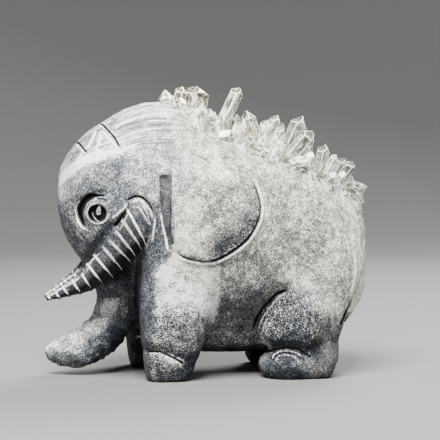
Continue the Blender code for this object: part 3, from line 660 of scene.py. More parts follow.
@dataclass(frozen=True)
class Area:
    """A part of both sides, in (x, z), that is painted lighter or darker than what lies round it.

    Several of them are painted shade and painted light.
    """

    outline: Course
    tone: float
    edge: float = 3.0
    strength: float = 0.95
    least_y: float = 0.0
    calm: float = 0.0

    def share(self, side: Array, across: Array) -> Array:
        """How far places (x, z), at a distance across from the middle, belong to the area."""
        depth = depth_in(side, rounded(self.outline), self.edge)
        return ease(depth, -0.5 * self.edge, 0.5 * self.edge) * (across >= self.least_y) * self.strength


@dataclass(frozen=True)
class Tusk:
    """A ribbed tusk: its middle line with its radius, as (x, y, z, radius), and its ribs, as (x, z)."""

    stations: Course = (
        (-24.8, -25, 54.9, 3.7), (-26.8, -24.2, 48, 4.45), (-30.4, -20.6, 42.4, 4.55),
        (-35.9, -15.2, 36.2, 4.35), (-40.8, -9.8, 31.7, 3.65), (-46.2, -6.8, 28.8, 2.45),
        (-50.4, -5.4, 26.7, 1.4), (-53.1, -4.6, 25.7, 0.7),
    )
    ribs: tuple[Course, ...] = (
        ((-26.6, 55.6), (-23.8, 49.4)), ((-28.2, 52.7), (-24.7, 46.1)), ((-29.9, 50.1), (-25.3, 42.8)),
        ((-31.9, 46.9), (-27.3, 40.8)), ((-34.4, 44.7), (-29.4, 39.5)), ((-36.2, 42.5), (-31.1, 36.1)),
        ((-38.3, 39.3), (-33.8, 33.6)), ((-40.8, 36.8), (-36.2, 30.7)), ((-43, 34.4), (-40.1, 29.6)),
        ((-45.8, 31.9), (-43.6, 28.5)), ((-48.6, 29.5), (-46.8, 26.9)), ((-51, 28), (-49.7, 26.1)),
        ((-53.2, 26.6), (-52.2, 25)),
    )
    beads_from: float = 6.6
    rib_height: float = 0.26
    rib_half_width: float = 0.42

    def path(self) -> tuple[Array, Array, Array]:
        """Draws the left tusk's middle line.

        Returns:
            The line's points, and the tusk's radius and the share of the length at each of them.
        """
        course = smooth_line(self.stations, 8)
        line = course[:, :3]
        walked = np.concatenate(([0.0], np.cumsum(np.linalg.norm(np.diff(line, axis=0), axis=1))))
        return line, course[:, 3], walked / walked[-1]

    def core(self, mirror: float) -> Piece:
        """Makes the plain bar of one tusk.

        Args:
            mirror: 1 for the left tusk, -1 for the right one.

        Returns:
            The bar.
        """
        line, radii, _ = self.path()
        curve = bpy.data.curves.new("tusk_core", "CURVE")
        curve.dimensions = "3D"
        curve.bevel_depth = MM
        curve.bevel_resolution = 6
        curve.use_fill_caps = True
        spline = curve.splines.new("POLY")
        spline.points.add(len(line) - 1)
        for point, (x, y, z), radius in zip(spline.points, line, radii):
            point.co = (x * MM, y * mirror * MM, z * MM, 1.0)
            point.radius = radius
        choose(placed("tusk_core", curve))
        bpy.ops.object.convert(target="MESH")
        return bpy.context.object

    @staticmethod
    def folded(points: Array) -> Array:
        """Turns the right side's places over to the left."""
        return np.column_stack((points[:, 0], -np.abs(points[:, 1]), points[:, 2]))

    def turned(self, points: Array, relief: Array) -> Array:
        """Turns the tusks round.

        Args:
            points: Places on the tusks.
            relief: How far each is raised.

        Returns:
            The way from each to its spot on the round tusk.
        """
        folded = self.folded(points)
        line, radii, walked = self.path()
        _, along = nearest_on(folded, line)
        away = folded - np.column_stack([np.interp(along, walked, line[:, axis]) for axis in range(3)])
        gap = np.linalg.norm(away, axis=1)
        way = away * ((np.interp(along, walked, radii) + relief - gap) / np.maximum(gap, 0.2))[:, None]
        way[:, 1] *= np.where(points[:, 1] < 0.0, 1.0, -1.0)
        return way

    def measure(self, points: Array) -> tuple[Array, Array, Array]:
        """Finds the tusks in a set of places.

        Args:
            points: The places.

        Returns:
            How far each is on a tusk, as a share, the number of the rib that it lies at, with parts of a
            step between two ribs, and the length of that step.
        """
        folded = self.folded(points)
        line, radii, walked = self.path()
        near = np.all((folded > line.min(axis=0) - 7.0) & (folded < line.max(axis=0) + 7.0), axis=1)
        on_tusk, number, step = np.zeros(len(points)), np.full(len(points), -0.5), np.full(len(points), 3.0)
        gap, along = nearest_on(folded[near], line)
        on_tusk[near] = fade(gap - np.interp(along, walked, radii), 0.5, 1.0)
        seen = folded[near][:, [0, 2]]
        passed = np.zeros((len(self.ribs), len(seen)))
        for i, (upper, lower) in enumerate(np.array(self.ribs)):
            across = (lower - upper) / np.linalg.norm(lower - upper)
            offset = seen - upper
            passed[i] = offset[:, 0] * across[1] - offset[:, 1] * across[0]
        steps = np.maximum(passed[:-1] - passed[1:], 0.3)
        count = np.clip((passed > 0.0).sum(axis=0) - 1, 0, len(self.ribs) - 2)
        columns = np.arange(len(seen))
        own_step = steps[count, columns]
        number[near] = count + np.clip(passed[count, columns] / own_step, -0.5, 1.5) - 1.0
        step[near] = own_step
        return on_tusk, number, step


@dataclass(frozen=True)
class Eye:
    """The carved eye: a drilled pupil with a drop left in it, a pale ball and a deep lid in front."""

    x: float = -38.2
    z: float = 53.5
    reach: float = 9.0
    pupil: float = 2.72
    pupil_depth: float = 1.3
    ring: float = 3.25
    ball_outline: Course = (
        (-36.2, 58.3), (-38.1, 58.5), (-39.8, 58), (-41.1, 57.1), (-41.9, 55.9), (-42.4, 54.4),
        (-42.5, 52.6), (-42.1, 50.3), (-41.2, 48.9), (-39, 48.6), (-36.8, 49.2), (-34.9, 50.8),
        (-34.1, 53.5), (-34.3, 56.2),
    )
    lid_outline: Course = (
        (-35.8, 59.3), (-37.9, 59.5), (-40.1, 59.8), (-41.6, 59.1), (-42.7, 57.7), (-43.6, 55.8),
        (-43.9, 53.8), (-43.4, 51.7), (-42.7, 50.2), (-41.9, 49.3), (-42.1, 50.6), (-42.45, 52.6),
        (-42.35, 54.4), (-41.8, 55.9), (-41, 57.1), (-39.8, 57.9), (-38.1, 58.7), (-36.2, 58.9),
    )
    lid_depth: float = 1.1
    lower_lid: Course = ((-38, 58.2), (-36.6, 58.1), (-35.4, 57.6))
    drop_outline: Course = (
        (-37.45, 56), (-37.15, 55.3), (-37.1, 54.2), (-37.25, 53.2), (-37.8, 53), (-38.45, 53.1),
        (-38.6, 54), (-38.4, 55),
    )
    glint: Course = ((-39.6, 53.8), (-39.4, 52.7), (-38.9, 51.8), (-38.3, 51.15), (-37.8, 50.95))
    outer_rim: Course = (
        (-43.6, 57.4), (-44.4, 55.7), (-44.6, 53.8), (-44.2, 51.6), (-43.4, 49.9), (-42.4, 48.7),
        (-41.2, 48.1),
    )

    def away(self, side: Array) -> Array:
        """Measures how far places (x, z) are from the middle of the pupil."""
        return np.hypot(side[:, 0] - self.x, side[:, 1] - self.z)

    def fields(self, side: Array) -> dict[str, Array]:
        """Measures the eye's parts.

        Args:
            side: Places (x, z), one to a row.

        Returns:
            Each part's share of each place, above a half inside the part.
        """
        away = self.away(side)
        outlines = (self.lid_outline, self.ball_outline, self.drop_outline)
        lid, ball, drop = (depth_in(side, rounded(outline), 2.0) for outline in outlines)
        glint, _ = nearest_on(side, smooth_line(self.glint))
        rim, along = nearest_on(side, smooth_line(self.outer_rim))
        fold, _ = nearest_on(side, smooth_line(self.lower_lid))
        rim_width = (0.14 + 0.3 * ease(along, 0.35, 0.8)) * np.sin(np.pi * np.clip(along, 0.02, 0.98)) ** 0.5
        return {
            "near": away < self.reach,
            "lid": patch(lid, 0.9),
            "ball": patch(ball, 1.2),
            "pupil": patch(self.pupil - away, 0.8),
            "ring": stroke(np.abs(away - self.ring), 0.28),
            "drop": patch(drop, 0.7),
            "glint": stroke(glint, 0.2),
            "rim": stroke(rim, rim_width),
            "fold": stroke(fold, 0.25),
            "upper_right": ease((side[:, 0] - self.x) + (side[:, 1] - self.z), 0.0, 5.0),
        }


@dataclass(frozen=True)
class Ear:
    """The ear, flat on the side: its outline, the groove and lip round its edge, and the slot in front."""

    outline: Course = (
        (-15.3, 66), (-15.7, 55), (-15.5, 46), (-14.5, 42.6), (-11.8, 40.2), (-5.3, 38.7), (-0.8, 39.6),
        (3.6, 42.1), (8, 45.8), (11.2, 50.9), (12.2, 55.2), (11.2, 60.5), (9.4, 65), (4.2, 71),
        (-6.6, 73.2),
    )
    groove_depth: float = 0.6
    lip_height: float = 0.32
    fade_from: float = 61.0
    fade_to: float = 69.0
    slot: Course = (
        (-19.2, 65.6), (-15.5, 65.7), (-15.6, 61), (-15.8, 54.7), (-15.7, 49.7), (-15, 44.2), (-16.5, 43.5),
        (-17.6, 46.5), (-18.6, 53.1), (-19.1, 59.3),
    )
    slot_depth: float = 0.35

    def fields(self, side: Array) -> dict[str, Array]:
        """Measures the ear's parts.

        Args:
            side: Places (x, z), one to a row.

        Returns:
            Shares of the groove, its painted shade, the lip and the line beside it, which carry painted
            highlights, how strongly the lip's highlight is painted, and how deep in the slot each place lies.
        """
        signed = depth_in(side, rounded(self.outline, 5), 6.0)
        free = fade(side[:, 1], self.fade_from, self.fade_to) * ease(side[:, 0], -14.5, -12.5)
        low_back = ease(side[:, 0], -4.0, 0.0) * fade(side[:, 1], 45.0, 50.0)
        return {
            # the groove's painted shade, darker at its lower back; painted highlights on the lip and just
            # inside the edge
            "groove": stroke(np.abs(signed + 0.2), 0.3) * free,
            "ink_and_shade": stroke(np.abs(signed + 0.2), 0.36 + 0.1 * low_back) * free * (0.7 + 0.25 * low_back),
            "lip": stroke(np.abs(signed + 1.15), 0.5) * free,
            "lip_strength": 0.58 + 0.12 * ease(side[:, 0], -4.0, 2.0),
            "second": stroke(np.abs(signed - 0.5), 0.2) * free,
            "in_slot": depth_in(side, np.array(self.slot), 2.0),
        }


HEAD_CUTS = (
    # the two grooves of the headband, and the zigzag between them
    Cut(((-35.6, 82.2), (-34.3, 80), (-32.3, 77), (-30.6, 73)), 0.5, 0.34, 0.9, 0.8, 0, False),
    Cut(((-43.3, 76.2), (-41.4, 73.1), (-39.6, 70.5)), 0.45, 0.32, 0.85, 0.8, 0, False),
    raised(((-41, 73.6), (-37.7, 79.7)), 0.15, 0.34, 1, 1.5),
    raised(((-38.8, 71.4), (-37.2, 76.5), (-36.2, 80)), 0.15, 0.34, 1, 1.5),
    raised(((-36.2, 80), (-34, 76.9), (-31.7, 73.7)), 0.15, 0.34, 1, 1.5),
    raised(((-40.4, 73.4), (-36.8, 75), (-32.9, 76.4)), 0.15, 0.28, 0.8, 1.5),
    raised(((-46.2, 67.4), (-43.2, 71.3)), 0.15, 0.3, 0.9, 1.5),
    raised(((-44.6, 68.2), (-42.6, 72.6)), 0.15, 0.3, 0.8, 1.5),
    Cut(((-12.5, 73.4), (-6.2, 70.9), (-1.6, 67.7), (5.9, 60.9)), 0.2, 0.16, 0.52),
    Cut(((-9.4, 72.5), (-5.6, 70.9), (-1.8, 68.7)), 0.3, 0.3, 0.6),
)
CHEEK_CUTS = (
    Cut(((-29.4, 57.4), (-27.7, 58.5), (-25.9, 58.9), (-24.2, 58.2), (-22.5, 56.5), (-21.3, 54.3)), 0.5,
        0.32, 0.95),
    raised(((-28.3, 56.9), (-25.6, 57.9), (-23.8, 56.4), (-22, 54), (-21.4, 51.6)), 0.3, 0.4, 0.75),
    raised(((-26.6, 56.2), (-25.2, 54.6), (-23.7, 52.2), (-22.5, 49.8)), 0.2, 0.26, 0.8),
    raised(((-24.7, 56.6), (-23.5, 54.3), (-22.7, 52.2), (-22.1, 49.4)), 0.2, 0.24, 0.7),
    raised(((-20.6, 52.4), (-21, 48.4), (-21.4, 44.6)), 0.2, 0.28, 0.9),
    raised(((-18.9, 54), (-18.2, 49.6), (-17.2, 45.2), (-16.6, 41.6)), 0.2, 0.32, 1),
    raised(((-22.4, 47), (-22.6, 44), (-23.2, 41.4)), 0.15, 0.22, 0.6),
    Cut(((-19.6, 56.4), (-20, 52), (-19.4, 47), (-18.9, 43.6)), 0.25, 0.5, 0.42),
    Cut(((-27.7, 56.2), (-29.4, 54.2), (-31.2, 51.8), (-33.2, 49.2)), 0.8, 0.62, 0.9),
    raised(((-28.2, 57), (-30.2, 55), (-32.2, 53.2), (-34, 51.8)), 0.3, 0.42, 0.7),
)
LEG_CUTS = (
    Cut(((-23.2, 9.9), (-19.4, 10), (-16.7, 9), (-13.2, 7.1), (-10.8, 5.6)), 0.5, 0.42, 0.55, 0.9),
    Cut(((-24.8, 40), (-25.1, 27), (-24.8, 18), (-23.8, 14)), 0.3, 0.5, 0.6, 0.2),
    # its black is painted shadow in the fold above the hind paw
    Cut(((16.3, 7.7), (18.4, 9.3), (21.6, 10.3), (25.2, 9.9), (28.4, 8), (30.4, 6.6)), 0.5, 0.34, 0.8),
    raised(((17.5, 6.3), (18.3, 7.8), (20.1, 9), (22.4, 9.3), (25, 8.6), (27.3, 7.3)), 0.2, 0.24, 0.64),
    raised(((18.2, 5.5), (19.3, 7.3), (21.2, 7.9), (23.4, 7.7), (25.5, 6.4), (26.7, 4.6)), 0.15, 0.18,
        0.54),
    # its black is painted shadow along the thigh's edge
    Cut(((22.4, 28.9), (19, 27.7), (16.7, 25.2), (14.6, 22.4), (13.1, 19.3), (12.6, 15)), 0.8, 0.5, 0.8),
    raised(((21.9, 28.3), (19.8, 26.9), (18.1, 24.9), (16.5, 22.2), (15.1, 19.9), (14.4, 17.4),
        (14.2, 14.6)), 0.2, 0.26, 0.7),
    raised(((16.9, 21.7), (15.8, 19), (15.2, 16.3), (14.9, 14.3)), 0.15, 0.18, 0.6),
    raised(((17.8, 20.6), (16.7, 18.3), (15.9, 16), (15.7, 14)), 0.15, 0.18, 0.56),
    Cut(((35.2, 20.4), (36.3, 17.3), (36.1, 14.7), (37.9, 12.3), (39, 10), (38.4, 6.7)), 0.4, 0.5, 0.44),
    raised(((44.9, 41), (45.3, 35.8), (44.8, 31), (44, 27)), 0.2, 0.5, 0.8, 0),
    raised(((42.2, 47), (42.6, 40), (41.8, 33)), 0.12, 0.22, 0.55, 0),
    raised(((39.6, 47.2), (38.6, 39.4), (36.4, 32)), 0.12, 0.22, 0.5, 0),
    Cut(((47.2, 46), (47.8, 39), (46.8, 31)), 0.12, 0.2, 0.3, 0.4, 0),
    # a painted highlight along the fore leg's back edge
    raised(((-0.9, 38.6), (-0.6, 33), (-1, 26), (-1.6, 20)), 0.2, 0.9, 0.5),
    Cut(((45.2, 25), (43.2, 22.4), (41.6, 19.8), (39.6, 16.8)), 0.6, 0.6, 0.9),
)


class Spots:
    """The places of a mesh's points, and what is measured there."""

    def __init__(self, mesh: Mesh, tusk: Tusk) -> None:
        """Reads the mesh, and finds the tusks in it.

        Args:
            mesh: The stone's mesh.
            tusk: The tusk on its left side, which the right one mirrors.
        """
        self.points = mesh_points(mesh)
        self.normals = read(mesh.vertices, "normal")
        self.side = self.points[:, [0, 2]]
        self.across = np.abs(self.points[:, 1])
        self.on_tusk, self.number, self.step = tusk.measure(self.points)
        # along the top of the tip the ribs stand half a step further on, where they end in beads
        on_top = (np.abs(self.normals[:, 1]) < 0.42) & (self.normals[:, 2] > 0.1)
        self.beaded = np.where(on_top & (self.number > tusk.beads_from), self.number + 0.5, self.number)
        self.below_root = self.on_tusk * ease(self.number, -0.9, -0.5)
        self.free = 1.0 - self.below_root
        self.on_side = ease(self.across, 8.0, 11.0)
        self.outer = self.on_side * self.free


@dataclass
class Wash:
    """What the stone is coloured with at each spot: tone, sharp black and white, and how even it lies.

    The black is ink and painted shade, the white chalk and painted highlights; the tone holds painted shade
    and light too.
    """

    tone: Array
    ink_and_shade: Array
    chalk_and_highlight: Array
    calm: Array

    def tint(self, goal: Array | float, share: Array) -> None:
        """Takes the tone its share of the way to a goal."""
        self.tone = towards(self.tone, goal, share)

    def draw(self, strength: Array) -> None:
        """Blackens what isn't as dark yet, with ink and painted shade."""
        self.ink_and_shade = np.maximum(self.ink_and_shade, strength)

    def whiten(self, strength: Array) -> None:
        """Whitens what isn't as white yet, with chalk and painted highlights."""
        self.chalk_and_highlight = np.maximum(self.chalk_and_highlight, strength)

    def wipe(self, share: Array) -> None:
        """Takes a share of the black and the white off."""
        self.ink_and_shade = self.ink_and_shade * (1.0 - share)
        self.chalk_and_highlight = self.chalk_and_highlight * (1.0 - share)


@dataclass
class StoneFigure:
    """The carved rock: one piece from trunk to tail, reworked from the CAD solid at a finer scale."""

    tusk: Tusk
    eye: Eye
    ear: Ear
    finish: StoneFinish
    cuts: tuple[Cut, ...]
    areas: tuple[Area, ...]
    merge_size: float = 0.52
    softening: int = 8
    most_triangles: int = 192000
    box_margin: float = 0.05
    # each layer of lumps: their width, their height, and which random surface it is
    skin_lumps: tuple = ((7.0, 0.25, 3), (3.0, 0.12, 4), (1.2, 0.06, 5))
    bed_lumps: tuple = ((3.0, 0.6, 1), (1.4, 0.4, 2))
    fringe: Course = (
        (-49.6, 61.8), (-48.4, 63.8), (-46.1, 66), (-43.5, 68.2), (-40.7, 69.7), (-37.7, 70.6), (-34, 71.6),
        (-30.3, 72.6), (-26.2, 73.9), (-21.6, 74.6), (-10, 74.9),
    )
    bed_ridge: Course = (
        (-19.5, 89), (-6.5, 85.4), (7.5, 79.6), (21.5, 73.8), (35.5, 67.8), (47.5, 59.6), (52.1, 52),
    )
    bed_half_widths: Course = ((6,), (16,), (19,), (19,), (18,), (15,), (9,))
    facet: Course = (
        (-35.2, 25.6), (-29.4, 26), (-30, 24.2), (-31.2, 20), (-32.6, 18.6), (-34.9, 17.5), (-36.2, 18.3),
        (-36.2, 22), (-35.4, 24.1),
    )
    nick_x: float = -42.4
    nick_depth: float = 1.3
    trunk_top: Course = ((-52.4, 10.4), (-48.2, 14), (-43.6, 15.6), (-39.4, 18.8), (-37, 21.4))
    heights_and_tones: Course = (
        (0, 0.32), (12, 0.38), (24, 0.52), (34, 0.62), (50, 0.66), (65, 0.72), (90, 0.76),
    )

    def build(self) -> Piece:
        """Makes the finished figure.

        Returns:
            The stone, carved, painted and dressed, in place of its CAD node.
        """
        stone = self.rough_out()
        self.refine(stone, 1)
        self.refine(stone, 2)
        self.carve(stone.data)
        self.lighten(stone)
        self.paint(stone.data)
        stone.data.materials.clear()
        stone.data.materials.append(self.finish.material())
        stone.data.shade_smooth()
        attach(stone, "root")
        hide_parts("stone_elephant")
        return stone

    def rough_out(self) -> Piece:
        """Merges a rounded copy of the CAD solid with smooth tusks.

        Returns:
            The merged stone, evenly meshed.
        """
        stone = placed("stone_figure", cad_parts["stone_elephant"].data.copy())
        with editing(stone):
            bpy.ops.mesh.remove_doubles(threshold=1e-6)
        rounding = stone.modifiers.new("rounding", "SUBSURF")
        rounding.levels = rounding.render_levels = 1
        finish_modifiers(stone)
        stone = join([stone, self.tusk.core(1.0), self.tusk.core(-1.0)], "stone_figure")
        merge = stone.modifiers.new("merge", "REMESH")
        merge.mode = "VOXEL"
        merge.voxel_size = self.merge_size * MM
        soften = stone.modifiers.new("soften", "SMOOTH")
        soften.factor = 0.5
        soften.iterations = self.softening
        finish_modifiers(stone)
        return stone

    def fine_share(self, points: Array, level: int) -> Array:
        """Finds where the carving is fine enough to need a finer mesh.

        Args:
            points: Places on the stone.
            level: 1 for all fine carving, 2 for the pupil alone.

        Returns:
            Whether each place is one.
        """
        side = points[:, [0, 2]]
        across = np.abs(points[:, 1])
        outer = across > 8.5
        away = self.eye.away(side)
        if level == 2:
            return outer & (away < 4.0)
        on_tusk, _, _ = self.tusk.measure(points)
        fine = (on_tusk > 0.3) | (outer & (away < 8.0))
        for cut in self.cuts:
            fine |= (cut.profile(side)[0] > 0.02) & (across > cut.least_y - 1.0)
        ear = self.ear.fields(side)
        return fine | (outer & ((ear["groove"] > 0.05) | (ear["lip"] > 0.3)))

    def refine(self, stone: Piece, level: int) -> None:
        """Divides the faces where the carving is as fine as the level says."""
        with editing(stone, self.fine_share(read(stone.data.polygons, "center") / MM, level)):
            bpy.ops.mesh.subdivide(number_cuts=1, smoothness=0.0)

    def carve(self, mesh: Mesh) -> None:
        """Works the surface in and out, as the carver's points and files did.

        Args:
            mesh: The stone's mesh, fine where the carving is.
        """
        spots = Spots(mesh, self.tusk)
        points, across, free = spots.points, spots.across, spots.free
        outer = spots.on_side * ease(np.abs(spots.normals[:, 1]), 0.1, 0.35) * free
        depth = np.zeros(len(points))
        for cut in self.cuts:
            sunk, _, _ = cut.profile(spots.side)
            depth -= cut.depth * sunk * ease(across, cut.least_y - 1.5, cut.least_y) * free
        ear = self.ear.fields(spots.side)
        lip = ease(ear["lip"], 0.3, 0.9) * self.ear.lip_height
        depth += (lip - ear["groove"] * self.ear.groove_depth) * outer
        depth -= self.ear.slot_depth * ease(ear["in_slot"], -0.2, 0.3) * outer
        for share, layers in ((self.on_bed(points), self.bed_lumps), (free, self.skin_lumps)):
            depth += share * sum(height * lumps(points, width, seed) for width, height, seed in layers)
        depth += self.trunk_relief(points, spots.normals) + self.hock_relief(points)
        to_rib = np.abs((spots.beaded + 0.5) % 1.0 - 0.5) * spots.step
        relief = self.tusk.rib_height * fade(to_rib, 0.25, self.tusk.rib_half_width)
        ribbed = spots.on_tusk * ease(spots.number, -0.6, -0.3)
        of_tusk = ribbed > 0.0
        points += spots.normals * depth[:, None]
        points[of_tusk] += self.tusk.turned(points[of_tusk], relief[of_tusk]) * ribbed[of_tusk, None]
        eye = self.eye.fields(spots.side)
        inwards = ease(eye["pupil"], 0.35, 0.75) * self.eye.pupil_depth
        inwards *= 1.0 - 0.85 * ease(eye["drop"], 0.3, 0.7)
        inwards *= 1.0 - 0.6 * ease(eye["glint"], 0.3, 0.7)
        inwards += ease(eye["lid"], 0.35, 0.9) * self.eye.lid_depth
        inwards -= 0.35 * ease(eye["rim"], 0.2, 0.7) + 0.2 * ease(eye["ring"], 0.3, 0.8)
        points[:, 1] -= np.sign(points[:, 1]) * inwards * eye["near"] * spots.on_side * free
        low, high = np.array(CAD_BOX) / MM
        move_points(mesh, np.clip(points, low + self.box_margin, high - self.box_margin))

    def trunk_share(self, points: Array) -> Array:
        """How far each point belongs to the free part of the trunk."""
        x, y, z = points.T
        return ease(-x, 26.0, 28.5) * fade(np.abs(y), 7.5, 9.0) * fade(z, 24.0, 30.0)

    def trunk_relief(self, points: Array, normals: Array) -> Array:
        """Works the trunk: the nick across its top, the facet above that, and the pits along its underside.

        Args:
            points: Places on the stone.
            normals: The surface's directions there.

        Returns:
            How far each place is raised.
        """
        nick = np.exp(-(((points[:, 0] - self.nick_x) / 0.6) ** 2)) * ease(normals[:, 2], 0.1, 0.6)
        under = ease(-normals[:, 2], 0.1, 0.6)
        facet = ease(depth_in(points[:, [0, 2]], np.array(self.facet), 1.0), -0.15, 0.35)
        rough = (0.25 + 0.5 * under) * lumps(points, 1.5, 6) + 0.25 * lumps(points, 4.0, 8)
        return self.trunk_share(points) * (rough * (1.0 - facet) - self.nick_depth * nick - 0.45 * facet)

    def hock_relief(self, points: Array) -> Array:
        """Works the hollow below the tail, and the lumps down the back of the heel.

        Args:
            points: Places on the stone.

        Returns:
            How far each place is raised.
        """
        x, _, z = points.T
        hollow = 0.7 * np.exp(-(((z - 19.0) / 3.0) ** 2)) + 1.5 * np.exp(-(((z - 11.5) / 3.8) ** 2))
        return ease(x, 30.0, 37.0) * (0.45 * lumps(points, 2.6, 9) * fade(z, 18.0, 24.0) - hollow)

    def on_bed(self, points: Array) -> Array:
        """Finds the broken bed that the quartz grows from.

        Args:
            points: Places on the stone.

        Returns:
            How far each place lies on the bed.
        """
        ridge = smooth_line(self.bed_ridge)
        widths = smooth_line(self.bed_half_widths)[:, 0]
        half_width = np.interp(points[:, 0], ridge[:, 0], widths) + 1.2 * lumps(points, 5.0, 7)
        top = np.interp(points[:, 0], ridge[:, 0], ridge[:, 1])
        share = fade(np.abs(points[:, 1]), half_width - 1.5, half_width + 1.5)
        return share * ease(points[:, 2], top - 13.0, top - 8.0) * ease(points[:, 0], -18.0, -13.0)

    def lighten(self, stone: Piece) -> None:
        """Thins the mesh where the stone is plain, down to the most triangles it may have.

        Args:
            stone: The carved stone.
        """
        mesh = stone.data
        mesh.calc_loop_triangles()
        fine = self.fine_share(mesh_points(mesh), 1)
        plain = stone.vertex_groups.new(name="plain")
        for chosen, weight in ((~fine, 1.0), (fine, 0.15)):
            plain.add([int(i) for i in np.flatnonzero(chosen)], weight, "ADD")
        thin = stone.modifiers.new("thin", "DECIMATE")
        thin.ratio = min(1.0, self.most_triangles / len(mesh.loop_triangles))
        thin.vertex_group = "plain"
        thin.use_collapse_triangulate = True
        finish_modifiers(stone)
        stone.vertex_groups.clear()

    def paint(self, mesh: Mesh) -> None:
        """Keeps with the mesh how light, blackened and whitened the stone is, painted shade and highlights
        included, and how its hair flows.

        Args:
            mesh: The carved stone's mesh.
        """
        spots = Spots(mesh, self.tusk)
        x, y, z = spots.points.T
        heights = np.array(self.heights_and_tones)
        bare = np.zeros(len(x))
        wash = Wash(np.interp(z, heights[:, 0], heights[:, 1]), bare, bare, 0.2 * spots.below_root)
        self.paint_both_sides(wash, spots)
        line = smooth_line(self.fringe)
        above = z - np.interp(x, line[:, 0], line[:, 1])
        hair = ease(above, -0.2, 0.6) * fade(x, -24.0, -4.0)
        wash.tint(0.66 + 0.16 * ease(x, -36.0, -20.0), hair * 0.9)
        # a painted highlight: the white band along the fringe's edge
        band = stroke(np.abs(above - 0.9), 1.7 - 0.9 * ease(x, -40.0, -28.0))
        wash.whiten(band * fade(x, -30.0, -18.0) * spots.free)
        wash.tint(0.8, self.on_bed(spots.points) * 0.9)
        self.paint_trunk(wash, spots)
        # painted shade on the inner faces, between the legs and under the belly
        painted_inner_shade = fade(spots.across, 8.0, 13.0) * fade(z, 24.0, 34.0) * ease(x, -27.0, -24.5)
        wash.tint(0.04, painted_inner_shade * fade(x, 38.0, 46.0))
        self.paint_tusks(wash, spots)
        self.paint_eye(wash, spots)
        sideways = y * (1.0 - 0.85 * ease(spots.across, 8.0, 16.0))
        cool = 0.9 * fade(x, -26.0, -8.0) * (1.0 - 0.8 * ease(above, -3.0, 2.0))
        cool = cool * (1.0 - 0.6 * spots.below_root) + 0.1
        cool = np.maximum(cool, 0.75 * fade(z, 22.0, 40.0) * fade(x, 29.0, 33.0))
        ribbed = spots.below_root * ease(spots.number, -0.6, -0.4)
        trim = (ribbed, (spots.beaded + RIB_SHIFT) / RIB_SPAN, spots.step / STEP_SPAN, cool)
        washed = (wash.tone, wash.ink_and_shade, wash.chalk_and_highlight, hair * (1.0 - wash.ink_and_shade))
        flow = np.column_stack((x, 26.0 * self.hair_height(spots.points, above), sideways)) * MM
        store(mesh, "wash", "FLOAT_COLOR", np.column_stack(washed))
        store(mesh, "trim", "FLOAT_COLOR", np.column_stack(trim))
        store(mesh, "calm", "FLOAT", wash.calm)
        store(mesh, "flow", "FLOAT_VECTOR", flow)

    def hair_height(self, points: Array, above: Array) -> Array:
        """Finds how the hair rises over the head.

        Args:
            points: Places on the stone.
            above: How far each is above the fringe.

        Returns:
            How high each lies between the fringe, at 0, and the top of the head, at 1.
        """
        bins = np.round(points[:, 0]).astype(int)
        low = bins.min()
        tops = np.full(bins.max() - low + 1, -1e9)
        np.maximum.at(tops, bins - low, points[:, 2])
        top = np.interp(points[:, 0], np.arange(len(tops)) + low, tops)
        return above / np.maximum(top - points[:, 2] + above, 1.0)

    def paint_both_sides(self, wash: Wash, spots: Spots) -> None:
        """Lays the areas, the cuts, the ear and its slot.

        Args:
            wash: The stone's colouring so far.
            spots: The places on the stone.
        """
        for area in self.areas:
            share = area.share(spots.side, spots.across)
            wash.tint(area.tone, share)
            wash.calm = wash.calm + (area.calm - wash.calm) * share * spots.free
        for cut in self.cuts:
            _, darkened, whitened = cut.profile(spots.side)
            reach = ease(spots.across, cut.least_y - 1.5, cut.least_y) * spots.free
            wash.draw(darkened * reach)
            wash.whiten(whitened * reach)
        ear = self.ear.fields(spots.side)
        # painted shade in the ear's groove, and painted highlights on its lip and just inside its edge
        wash.draw(ear["ink_and_shade"] * spots.outer)
        wash.whiten(np.maximum(ear["lip_strength"] * ear["lip"], 0.5 * ear["second"]) * spots.outer)
        in_slot = ease(ear["in_slot"], -0.15, 0.15) * spots.outer
        wash.tint(0.22 + 0.22 * ease(spots.points[:, 2], 46.0, 64.0), in_slot)
        wash.calm = towards(wash.calm, 0.3, in_slot)
        wash.draw(0.62 * stroke(np.abs(ear["in_slot"] - 0.1), 0.22) * spots.outer)

    def paint_trunk(self, wash: Wash, spots: Spots) -> None:
        """Paints light and shade on the trunk: painted highlights on its facet and along its upper face,
        painted shade under the head, on its underside and low by the chest, and painted light where the tusks
        shade it.

        Args:
            wash: The stone's colouring so far.
            spots: The places on the stone.
        """
        x, _, z = spots.points.T
        upwards = spots.normals[:, 2]
        on_trunk = self.trunk_share(spots.points)
        facet = ease(depth_in(spots.side, np.array(self.facet), 1.0), -0.15, 0.2)
        tip = ease(-x, 37.0, 46.0)
        # painted highlight on the faces turned up, and along the trunk's top line
        lit = ease(upwards - 0.35 * spots.normals[:, 0], -0.1, 0.6) * fade(z, 19.5, 22.5)
        below, _ = nearest_on(spots.side, smooth_line(self.trunk_top))
        lit = np.maximum(lit, 0.9 * fade(below, 1.6, 3.6))
        # painted shade low by the chest, and painted light on the upper trunk where the tusks shade it
        shade = ease(x, -35.0, -31.0) * fade(z, 13.0, 19.0)
        wanted = 0.44 + 0.08 * tip - 0.36 * shade + 0.16 * ease(z, 18.0, 22.0)
        # painted highlights: the lit faces and the facet lighter
        wanted = towards(towards(wanted, 0.74, lit), 0.84, facet)
        # painted shade on the faces turned down, less towards the tip
        wash.tint(towards(wanted, 0.16 + 0.34 * tip, ease(-upwards, 0.1, 0.7)), on_trunk)
        wash.wipe(on_trunk)
        # the facet's painted highlight whitened further
        wash.chalk_and_highlight = wash.chalk_and_highlight + 0.4 * facet * on_trunk

